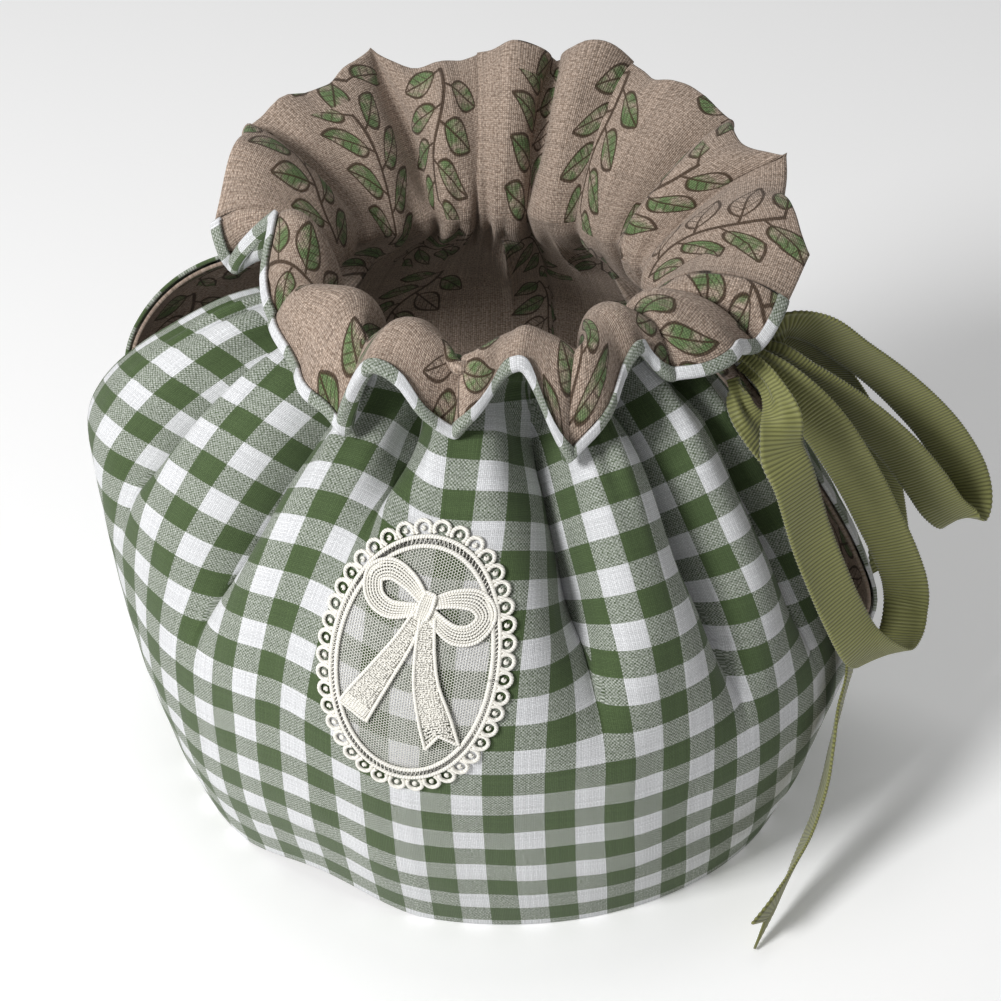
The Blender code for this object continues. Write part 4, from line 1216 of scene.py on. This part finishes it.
def add(tree, kind, inputs=(), **settings):
    """Add a node, with each input wired to a socket or set to a value."""
    node = tree.nodes.new(kind)
    for name, value in settings.items():
        setattr(node, name, value)
    for key, value in dict(inputs).items():
        if isinstance(value, bpy.types.NodeSocket):
            tree.links.new(value, node.inputs[key])
        else:
            node.inputs[key].default_value = value
    return node


def scallop_tree():
    tree, identifiers = new_tree("scallops", (
        ("Scallops", "NodeSocketInt"), ("Loop Radius", "NodeSocketFloat"),
        ("Loop Reach", "NodeSocketFloat"), ("Cord Radius", "NodeSocketFloat"),
        ("Eyelet Radius", "NodeSocketFloat"), ("Material", "NodeSocketMaterial")))
    given = add(tree, "NodeGroupInput").outputs
    points = add(tree, "GeometryNodeCurveToPoints",
                 {"Curve": given["Geometry"], "Count": given["Scallops"]}, mode="COUNT")
    tangent = add(tree, "ShaderNodeSeparateXYZ", {0: points.outputs["Tangent"]}).outputs
    turn = add(tree, "ShaderNodeMath", {0: tangent[1], 1: tangent[0]}, operation="ARCTAN2")
    facing = add(tree, "ShaderNodeCombineXYZ", {2: turn.outputs[0]})

    def loop(radius, thick, start, sweep):
        arc = add(tree, "GeometryNodeCurveArc", {"Resolution": 15, "Radius": radius,
                                                 "Start Angle": start, "Sweep Angle": sweep},
                  mode="RADIUS")
        profile = add(tree, "GeometryNodeCurvePrimitiveCircle", {"Resolution": 7, "Radius": thick})
        cord = add(tree, "GeometryNodeCurveToMesh", {
            "Curve": arc.outputs["Curve"], "Profile Curve": profile.outputs[0], "Fill Caps": True})
        return cord.outputs[0]

    away = add(tree, "ShaderNodeMath", {0: given["Loop Reach"], 1: -1.0}, operation="MULTIPLY")
    place = add(tree, "ShaderNodeCombineXYZ", {1: away.outputs[0]})
    outer = loop(given["Loop Radius"], given["Cord Radius"], math.pi - 0.75, math.pi + 1.5)
    thin = add(tree, "ShaderNodeMath", {0: given["Cord Radius"], 1: 0.72}, operation="MULTIPLY")
    eyelet = loop(given["Eyelet Radius"], thin.outputs[0], 0.0, WAVE - 0.9)
    both = add(tree, "GeometryNodeJoinGeometry")
    tree.links.new(outer, both.inputs[0])
    tree.links.new(eyelet, both.inputs[0])
    moved = add(tree, "GeometryNodeTransform",
                {"Geometry": both.outputs[0], "Translation": place.outputs[0]})
    copies = add(tree, "GeometryNodeInstanceOnPoints", {
        "Points": points.outputs["Points"], "Instance": moved.outputs[0],
        "Rotation": facing.outputs[0]})
    real = add(tree, "GeometryNodeRealizeInstances", {0: copies.outputs[0]})
    painted = add(tree, "GeometryNodeSetMaterial",
                  {"Geometry": real.outputs[0], "Material": given["Material"]})
    tree.links.new(painted.outputs[0], add(tree, "NodeGroupOutput").inputs[0])
    return tree, identifiers


# %% The border
SCALLOP_OVAL, SCALLOP_LIFT = 0.885, 0.40     # a share of the medallion, and millimetres up
SCALLOPS = {"Scallops": 40, "Loop Radius": 1.52, "Loop Reach": 0.62, "Cord Radius": 0.42,
            "Eyelet Radius": 0.24, "Material": yarn}


def make_scallops():
    ring = oval(SCALLOP_OVAL, 160, SCALLOP_LIFT)
    curve = bpy.data.curves.new("oval", "CURVE")
    curve.dimensions = "3D"
    spline = curve.splines.new("POLY")
    spline.points.add(len(ring) - 1)
    for point, place in zip(spline.points, ring):
        point.co = (*place, 1.0)
    spline.use_cyclic_u = True
    base = add_object("oval", curve)
    tree, identifiers = scallop_tree()
    modifier = base.modifiers.new("scallops", "NODES")
    modifier.node_group = tree
    for title, value in SCALLOPS.items():
        modifier[identifiers[title]] = value
    return bend_on(made_real(base, "lace_scallops"))


scallops = make_scallops()
print("border:", SCALLOPS["Scallops"], "scallops,", len(scallops.data.polygons), "faces")

# %% [markdown]
# ## Corded rings
# Two cords run round the oval and are bound together by a zigzag, which makes the firm open band
# between the net and the scallops.

# %% Rings of cord
# A ring's share of the medallion, its height and its cord's radius in millimetres.
RINGS = ((0.785, 0.48, 0.44), (0.85, 0.46, 0.42))
ZIGZAG_BETWEEN, ZIGZAG_LIFT, ZIGZAG_RADIUS, ZIGZAG_STEPS = (0.79, 0.845), 0.4, 0.32, 300


def make_rings():
    tubes = [tube(oval(share, 260, lift), radius, closed=True) for share, lift, radius in RINGS]
    inner, outer = (oval(share, ZIGZAG_STEPS, ZIGZAG_LIFT) for share in ZIGZAG_BETWEEN)
    zigzag = np.where((np.arange(ZIGZAG_STEPS) % 2 == 0)[:, None], inner, outer)
    return make_cords("lace_rings", [*tubes, tube(zigzag, ZIGZAG_RADIUS, sides=6, closed=True)])


rings = make_rings()

# %% [markdown]
# ## Embroidered bow
# The bow is outlined with cord. Its loops are filled with lines that run along them and its tails
# with seed stitches, and the net shows between both. Each part follows a short route of points
# with a width at each, so that a loop can swell and a tail can flare.

# %% Routes of the bow, in millimetres
BOW_MIDDLE = np.array((0.6, 11.9))
LOOP_TILT = math.radians(-9.0)
BOW_LOOP = ((1.2, 1.1, 1.8), (4.8, 3.2, 3.0), (8.9, 3.9, 3.7), (11.6, 1.5, 3.4), (10.2, -2.1, 3.5),
            (6.4, -3.2, 3.1), (1.2, -1.0, 1.8))
BOW_TAIL_LEFT = ((-1.0, -1.8, 2.4), (-3.0, -7.6, 3.4), (-6.0, -14.0, 4.6), (-9.2, -20.8, 5.9),
                 (-10.8, -24.6, 6.4))
BOW_TAIL_RIGHT = ((0.7, -2.2, 2.8), (1.5, -8.6, 3.7), (2.8, -15.0, 4.8), (5.2, -21.4, 6.2),
                  (6.6, -25.2, 6.7))
BOW_KNOT = ((0.0, -2.6, 2.0), (0.0, 0.0, 2.6), (0.0, 2.6, 2.0))
NET_TOP = 0.5             # the bow lies this far over the bottom of the lace


def turned(route, angle, mirror):
    """A route turned about the bow's middle, and mirrored first for the left loop."""
    rows = []
    for x, y, width in route:
        x = -x if mirror else x
        rows.append((x * math.cos(angle) - y * math.sin(angle) + BOW_MIDDLE[0],
                     x * math.sin(angle) + y * math.cos(angle) + BOW_MIDDLE[1], width))
    return rows


# %% [markdown]
# ## Stitches
# A filled part is a strip with a place for every stitch: a share of the way across it and a
# length along it. Loops have long lines tied down by fine bars. Tails have a ground of cross
# threads under short seeds that lie every way, and end in a few close rows.

# %% Fill a strip with stitches
LINE_SHARES = (-0.68, -0.36, -0.02, 0.32, 0.66)


class Strip:
    """A flat strip between two edges that follows a route of points and widths."""

    def __init__(self, route, notch):
        fine = through(route, np.linspace(0.0, len(route) - 1.0, 90))
        self.middle, self.half = fine[:, :2], fine[:, 2] * 0.5
        self.ahead = unit(np.gradient(self.middle, axis=0))
        self.across = np.stack([-self.ahead[:, 1], self.ahead[:, 0]], axis=-1)
        self.run = run_along(self.middle)
        self.length = self.run[-1]
        self.end = smooth((self.run - self.length + 3.0) / 3.0) * notch

    def at(self, share, where, height):
        """Point at a share of the half width, some way along the strip."""
        spot = self.middle + self.across * (self.half * share)[:, None]
        spot = spot + self.ahead * (self.end * abs(share))[:, None]
        x, y = (np.interp(where, self.run, spot[:, axis]) for axis in (0, 1))
        return np.stack([x, y, np.full(np.shape(where), height)], axis=-1)

    def bar(self, where, height, shares, radius, sides):
        """A thread straight across the strip."""
        return tube(np.array([self.at(share, where, height) for share in shares]), radius, sides)


def lines_fill(strip, lift):
    threads = [tube(strip.at(share, strip.run, lift + 0.22), 0.2, 6) for share in LINE_SHARES]
    bars = [strip.bar(where, lift + 0.10, (-0.9, -0.3, 0.3, 0.9), 0.15, 5)
            for where in np.arange(0.4, strip.length, 0.6)]
    return threads + bars


def seeds_fill(strip, lift, chance):
    threads = [strip.bar(where, lift + 0.08, (-0.95, -0.3, 0.3, 0.95), 0.19, 4)
               for where in np.arange(0.3, strip.length, 0.44)]
    for where in np.arange(0.5, strip.length - 0.2, 0.54):
        width = np.interp(where, strip.run, strip.half)
        for share in np.arange(-0.78, 0.79, 0.56 / width):
            share, place = share + chance.uniform(-0.08, 0.08), where + chance.uniform(-0.2, 0.2)
            spot = strip.at(share, place, lift + 0.2)
            lean = chance.uniform(0.0, math.pi)
            reach = chance.uniform(0.16, 0.30) * np.array((math.cos(lean), math.sin(lean), 0.0))
            seed = np.array([spot + reach * part for part in (-1.0, -0.4, 0.4, 1.0)])
            threads.append(tube(seed, chance.uniform(0.15, 0.22), 5))
    return threads


def stitches(name, route, lift, kind, notch):
    """A strip filled with stitches, and the cords along its edges."""
    strip = Strip(route, notch)
    if kind == "lines":
        threads = lines_fill(strip, lift)
    else:
        threads = seeds_fill(strip, lift, np.random.default_rng(len(name)))
        if not notch:
            threads += [strip.bar(where, lift + 0.24, np.linspace(-0.95, 0.95, 7), 0.2, 6)
                        for where in np.arange(strip.length - 2.6, strip.length, 0.42)]
    edges = [tube(strip.at(share, strip.run, lift + 0.32), 0.34) for share in (-1.0, 1.0)]
    end = strip.bar(strip.length, lift + 0.32, np.linspace(-1.0, 1.0, 13), 0.32, 8)
    return make_cords(name, threads), [*edges, end]


# %% Make the bow
bow_parts, outlines = [], []
for node, route, angle, mirror, lift, kind, notch in (
        ("lace_tail_left", BOW_TAIL_LEFT, 0.0, False, NET_TOP, "seeds", 0.0),
        ("lace_tail_right", BOW_TAIL_RIGHT, 0.0, False, NET_TOP + 0.1, "seeds", 2.6),
        ("lace_loop_left", BOW_LOOP, LOOP_TILT, True, NET_TOP, "lines", 0.0),
        ("lace_loop_right", BOW_LOOP, LOOP_TILT, False, NET_TOP, "lines", 0.0),
        ("lace_knot", BOW_KNOT, LOOP_TILT, False, NET_TOP + 0.5, "lines", 0.0)):
    part, cords = stitches(node + "_fill", turned(route, angle, mirror), lift, kind, notch)
    bow_parts.append((part, node))
    outlines.extend(cords)
bow_outline = make_cords("lace_outline", outlines)
lace_pieces = [net, scallops, rings, bow_outline, *(part for part, _ in bow_parts)]
for piece in lace_pieces:
    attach(piece, "root")
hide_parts("lace_medallion")
for part, node in bow_parts:
    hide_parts(node)
print("bow:", len(bow_parts), "filled parts")

# %% [markdown]
# ## Grosgrain ribbon
# Grosgrain is a narrow ribbon with ribs straight across it, because its weft is thick and its
# warp is fine. The ribs are real: the strip's rows rise and fall at the ribs' spacing. The strip
# follows a route of points, with the direction across it at each, and is crumpled where the knot
# gathers it.

# %% Ribbon routes, in millimetres
# A point on the ribbon's middle, the direction across it, and the share of its width that lies
# open there.
FRONT_LOOP = (
    (52.8, -5.0, 114.2, 0.0, 0.1, 1.0, 0.5),
    (58.6, -9.2, 111.9, 0.2, 0.1, 0.97, 0.55),
    (62.2, -15.0, 108.2, 0.5, 0.5, 0.7, 0.8),
    (63.4, -18.8, 102.0, 0.55, 0.75, 0.4, 1.0),
    (66.6, -20.6, 96.1, 0.6, 0.74, 0.34, 1.0),
    (70.6, -20.9, 83.7, 0.62, 0.72, 0.3, 1.0),
    (74.3, -21.5, 75.0, 0.62, 0.72, 0.3, 1.0),
    (79.1, -21.6, 64.8, 0.64, 0.7, 0.3, 1.0),
    (84.0, -19.8, 55.0, 0.72, 0.62, 0.25, 1.0),
    (88.7, -12.6, 48.2, 0.86, 0.4, 0.2, 1.0),
    (91.2, -4.2, 47.2, 0.94, 0.05, 0.3, 1.0),
    (91.6, 0.9, 50.7, 0.92, -0.15, 0.38, 1.0),
    (90.7, 1.5, 57.0, 0.9, -0.12, 0.4, 1.0),
    (87.8, 1.0, 64.9, 0.9, -0.06, 0.42, 1.0),
    (83.8, 0.4, 73.5, 0.86, 0.0, 0.5, 1.0),
    (79.2, -1.0, 83.5, 0.8, 0.05, 0.58, 1.0),
    (72.4, -3.2, 96.0, 0.7, 0.1, 0.68, 1.0),
    (66.4, -4.0, 104.0, 0.5, 0.3, 0.8, 0.9),
    (60.0, -3.4, 110.2, 0.3, 0.15, 0.93, 0.7),
    (52.8, -2.4, 113.8, 0.0, 0.05, 1.0, 0.55),
)
BACK_LOOP = (
    (53.1, 2.6, 113.4, 0.0, 0.0, 1.0, 0.55),
    (57.8, 4.0, 115.6, 0.0, -0.1, 1.0, 0.7),
    (61.6, 5.8, 116.6, 0.25, -0.25, 0.93, 0.85),
    (67.0, 8.8, 114.0, 0.5, -0.28, 0.8, 1.0),
    (73.5, 12.8, 107.2, 0.65, -0.28, 0.7, 1.0),
    (81.0, 17.0, 99.2, 0.7, -0.22, 0.65, 1.0),
    (88.0, 20.0, 91.0, 0.75, -0.1, 0.6, 1.0),
    (94.5, 22.5, 82.2, 0.85, 0.0, 0.5, 1.0),
    (100.0, 24.0, 72.5, 0.88, 0.05, 0.45, 1.0),
    (102.2, 22.5, 66.0, 0.9, 0.1, 0.4, 1.0),
    (101.2, 18.5, 63.4, 0.9, 0.15, 0.35, 1.0),
    (97.0, 15.6, 67.5, 0.88, 0.05, 0.45, 1.0),
    (92.0, 13.8, 75.4, 0.85, 0.0, 0.5, 1.0),
    (86.0, 11.8, 84.0, 0.8, -0.1, 0.55, 1.0),
    (79.0, 9.2, 92.2, 0.72, -0.18, 0.65, 1.0),
    (71.6, 6.0, 99.8, 0.6, -0.25, 0.75, 1.0),
    (64.8, 2.9, 106.4, 0.35, -0.2, 0.9, 0.8),
    (59.0, 1.2, 111.4, 0.1, -0.1, 0.97, 0.65),
    (52.8, 0.3, 112.6, 0.0, 0.0, 1.0, 0.5),
)
LONG_TAIL = (
    (51.4, -7.6, 110.7, 0.0, 0.1, 1.0, 0.4),
    (54.0, -11.0, 105.6, 0.2, 0.75, 0.6, 0.55),
    (57.4, -12.0, 101.6, 0.25, 0.85, 0.4, 0.8),
    (61.6, -11.6, 96.0, 0.2, 0.93, 0.25, 1.0),
    (67.2, -10.2, 86.0, 0.15, 0.98, 0.1, 1.0),
    (72.0, -9.2, 75.0, 0.13, 0.99, 0.05, 1.0),
    (77.0, -9.0, 64.0, 0.13, 0.99, 0.0, 1.0),
    (81.0, -9.6, 54.4, 0.13, 0.99, -0.05, 1.0),
    (81.6, -13.6, 45.4, 0.14, 0.98, -0.1, 1.0),
    (80.4, -19.8, 38.4, 0.08, 0.94, -0.32, 1.0),
    (79.9, -25.4, 32.2, -0.08, 0.84, -0.55, 1.0),
    (79.5, -29.2, 25.2, -0.15, 0.78, -0.6, 1.0),
    (78.4, -33.2, 18.5, -0.15, 0.78, -0.6, 1.0),
    (76.7, -37.7, 13.5, -0.15, 0.77, -0.62, 1.0),
    (74.5, -44.5, 9.8, -0.02, 0.75, -0.66, 1.0),
    (72.6, -50.3, 7.6, 0.11, 0.69, -0.7, 1.0),
    (70.7, -55.3, 6.3, 0.16, 0.4, -0.9, 1.0),
)
SHORT_TAIL = (
    (51.7, 5.2, 111.8, 0.0, -0.05, 1.0, 0.45),
    (57.4, 9.0, 110.6, 0.1, -0.2, 0.95, 0.7),
    (62.2, 13.8, 106.4, 0.2, -0.35, 0.87, 0.9),
    (67.8, 19.2, 98.6, 0.35, -0.4, 0.8, 1.0),
    (73.8, 23.2, 88.8, 0.45, -0.45, 0.7, 1.0),
    (79.0, 25.2, 78.0, 0.6, -0.4, 0.55, 1.0),
    (82.4, 27.5, 65.0, 0.75, -0.3, 0.4, 1.0),
    (85.0, 28.8, 52.0, 0.85, -0.25, 0.3, 1.0),
    (87.0, 29.5, 40.0, 0.88, -0.2, 0.25, 1.0),
)
RIBBON_WIDTH, RIBBON_THICKNESS = 10.0, 0.55
RIB = 0.82               # from rib to rib
RIB_ROWS = 4             # rows of points to a rib
RIB_RELIEF = 0.055
WARP_THREAD = 0.3
print("ribbon:", RIBBON_WIDTH, "mm wide, a rib each", RIB, "mm")


# %% The ribbon material
def make_grosgrain():
    material, sums = new_material("olive_grosgrain", 0.5, 0.35)
    uv = sums.node("ShaderNodeUVMap", uv_map="cloth")
    across, along = sums.parts(uv)[:2]
    ridge = (along * (WAVE / (RIB * MM))).sine() * 0.5 + 0.5
    stretched = sums.node("ShaderNodeVectorMath", {0: uv, 1: (260.0, 5200.0, 1.0)},
                          operation="MULTIPLY")
    streaks_and_sheen = sums.clouds(stretched, 1.0, 2.0)
    threads = (across * (WAVE / (WARP_THREAD * MM))).sine()
    height = ridge + (threads * 0.08 + streaks_and_sheen * 0.3)
    # Painted shade and painted highlight: the valleys between ribs are darker and the ribs' tops
    # lighter.
    colour = sums.mix(sums.ramp(ridge, 0.05, 0.75), srgb(78, 80, 36), srgb(124, 126, 72))
    # Lighter streaks along the ribbon: partly uneven threads and partly a painted sheen.
    colour = sums.mix(streaks_and_sheen * 0.35, colour, srgb(162, 161, 108))
    sums.finish(colour, height, 0.4, 0.00015)
    return material


grosgrain = make_grosgrain()


# %% Ribbon strips
CUP = 0.55                # millimetres that the ribbon cups or bows across its width
CRUMPLE = 1.5             # and that it is crumpled where it is gathered
EDGE_WAVE = 0.018         # share of the width that each rib stands out at the edge
NOTCH_REACH = 7.0         # from a notched end to where its edges part


def make_ribbon(name, route, notch, seed):
    """One length of ribbon along a route, and how long it is in millimetres."""
    stops = np.linspace(0.0, len(route) - 1.0, 400)
    run = run_along(through(route, stops)[:, :3])
    length = run[-1]
    along = np.linspace(0.0, length, int(length / RIB) * RIB_ROWS + 1)
    rows = through(route, np.interp(along, run, stops))
    middle, across, width = rows[:, :3], rows[:, 3:6], rows[:, 6]
    heading = unit(np.gradient(middle, axis=0))
    across = unit(across - heading * np.sum(across * heading, axis=-1, keepdims=True))
    flat = unit(np.cross(heading, across))

    share = np.linspace(-1.0, 1.0, 13)
    ribs = np.sin(WAVE * along / RIB)
    cup = CUP * value_noise(along / 22.0 + seed * 3.7, along * 0.0 + seed, 31)
    crumple = np.outer((1.0 - width) * CRUMPLE, np.sin(1.5 * math.pi * share + seed))
    bow_out = np.outer(cup, share ** 2 - 0.4) + crumple
    reach = np.outer(0.5 * RIBBON_WIDTH * width * (1.0 + EDGE_WAVE * ribs), share)
    cut = np.outer(smooth((along - length + NOTCH_REACH) / NOTCH_REACH) * notch, np.abs(share))
    place = middle[:, None] + (across[:, None] * reach[..., None] + heading[:, None] * cut[..., None]
                               + flat[:, None] * bow_out[..., None])
    half = ((0.5 * RIBBON_THICKNESS + RIB_RELIEF * ribs)[:, None] * flat)[:, None]
    uv = np.stack(np.broadcast_arrays(0.5 * RIBBON_WIDTH * share * MM, along[:, None] * MM), axis=-1)
    return make_sheet(name, (place - half) * MM, (place + half) * MM, uv, grosgrain), length


for name, route, notch, seed in (
        ("loop_front", FRONT_LOOP, 0.0, 1.0), ("loop_back", BACK_LOOP, 0.0, 2.0),
        ("tail_long", LONG_TAIL, 4.5, 3.0), ("tail_short", SHORT_TAIL, 4.5, 4.0)):
    piece, length = make_ribbon("grosgrain_" + name, route, notch, seed)
    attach(piece, "root")
    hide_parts("ribbon_" + name)

# %% [markdown]
# ## The knot
# The knot is the same ribbon wrapped once round where the loops and tails cross. It is a plump
# band, pinched in the middle, with the ribs running along it.

# %% Make the knot
KNOT_CENTRE, KNOT_SIZE = (48.3, -0.6, 114.0), (9.2, 18.0, 8.0)
KNOT_FOLDS = 6.0


def make_knot():
    rows, columns = 49, 40
    up = np.linspace(-1.0, 1.0, rows)[:, None]
    turn = (np.arange(columns) * WAVE / columns)[None, :]
    profile = 0.5 * (1.0 - np.abs(up) ** 3.0) ** 0.4 * (0.74 + 0.26 * np.abs(up))
    folds = np.cos(KNOT_FOLDS * turn + 1.6 * up) * (0.03 + 0.17 * np.abs(up) ** 1.5)
    ring = np.maximum(profile, 0.06) * (0.94 + folds + 0.03 * np.sin(9.0 * up)) * 0.84
    spread = 0.40 * KNOT_SIZE[1]
    points = np.stack(np.broadcast_arrays(KNOT_CENTRE[0] + KNOT_SIZE[0] * ring * np.cos(turn),
                                          KNOT_CENTRE[1] + spread * up,
                                          KNOT_CENTRE[2] + KNOT_SIZE[2] * ring * np.sin(turn)), axis=-1)
    faces = []
    for i in range(rows - 1):
        for j in range(columns):
            a, b = i * columns + j, i * columns + (j + 1) % columns
            faces.append((a, b, b + columns, a + columns))
    faces.append(tuple(range(columns))[::-1])
    faces.append(tuple((rows - 1) * columns + j for j in range(columns)))
    uv = np.stack(np.broadcast_arrays(up * spread * MM, turn * 3.2 * MM), axis=-1).reshape(-1, 2)
    knot = make_object("grosgrain_knot", points.reshape(-1, 3) * MM, faces, uv, grosgrain)
    face_outwards(knot.data)
    return knot


knot = make_knot()
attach(knot, "root")
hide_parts("ribbon_knot")

# %% [markdown]
# ## What was cut
# Each panel and lining is printed with the flat size that it was cut to. The two panels and their
# linings are gathered at the neck, and the ribbon hangs from its knot. The lace is sewn to the
# front panel.

for panel, size, on_it in ((gingham_front, cut_front, lace_pieces), (gingham_back, cut_back, []),
                           (linen_front, cut_front_linen, []), (linen_back, cut_back_linen, [])):
    print(panel.name, "was cut to", [round(value / MM) for value in size], "mm")

# %% [markdown]
# ## Light and floor
# The light is soft and comes from the front left, as beside a window, with a wide lamp above and
# a little behind. The dim white world keeps the creases readable without filling them.

# %% The floor
FLOOR_REACH, FLOOR_DROP = 4.0, 0.0002      # metres
FLOOR_CORNERS = ((-1.0, -1.0), (1.0, -1.0), (1.0, 1.0), (-1.0, 1.0))
floor_points = [(x * FLOOR_REACH, y * FLOOR_REACH, -FLOOR_DROP) for x, y in FLOOR_CORNERS]
floor_mesh = bpy.data.meshes.new("floor")
floor_mesh.from_pydata(floor_points, [], [(0, 1, 2, 3)])
floor_material, floor_sums = new_material("floor_paper", 0.9, 0.0)
for title, value in (("Base Color", (0.97, 0.97, 0.97, 1.0)), ("Emission Color", (1.0, 1.0, 1.0, 1.0)),
                     ("Emission Strength", 0.14)):
    floor_sums.shader.inputs[title].default_value = value
floor_mesh.materials.append(floor_material)
add_object("floor", floor_mesh)

# %% The lights
LIT_POINT = Vector((0.0, 0.0, 0.06))
WORLD_STRENGTH = 0.18


def add_light(name, place, size, power):
    lamp = bpy.data.lights.new(name, "AREA")
    lamp.shape = "DISK"
    lamp.size = size
    lamp.energy = power
    obj = add_object(name, lamp)
    obj.location = place
    obj.rotation_euler = (LIT_POINT - Vector(place)).to_track_quat("-Z", "Y").to_euler()


add_light("window", (-0.58, -0.74, 0.74), 0.35, 12.0)
add_light("sky", (-0.1, 0.25, 1.2), 0.6, 2.6)
world = bpy.data.worlds.new("studio")
bpy.context.scene.world = world
world.use_nodes = True
background = world.node_tree.nodes["Background"]
background.inputs["Color"].default_value = (1.0, 1.0, 1.0, 1.0)
background.inputs["Strength"].default_value = WORLD_STRENGTH
bpy.context.scene.view_settings.view_transform = "Standard"
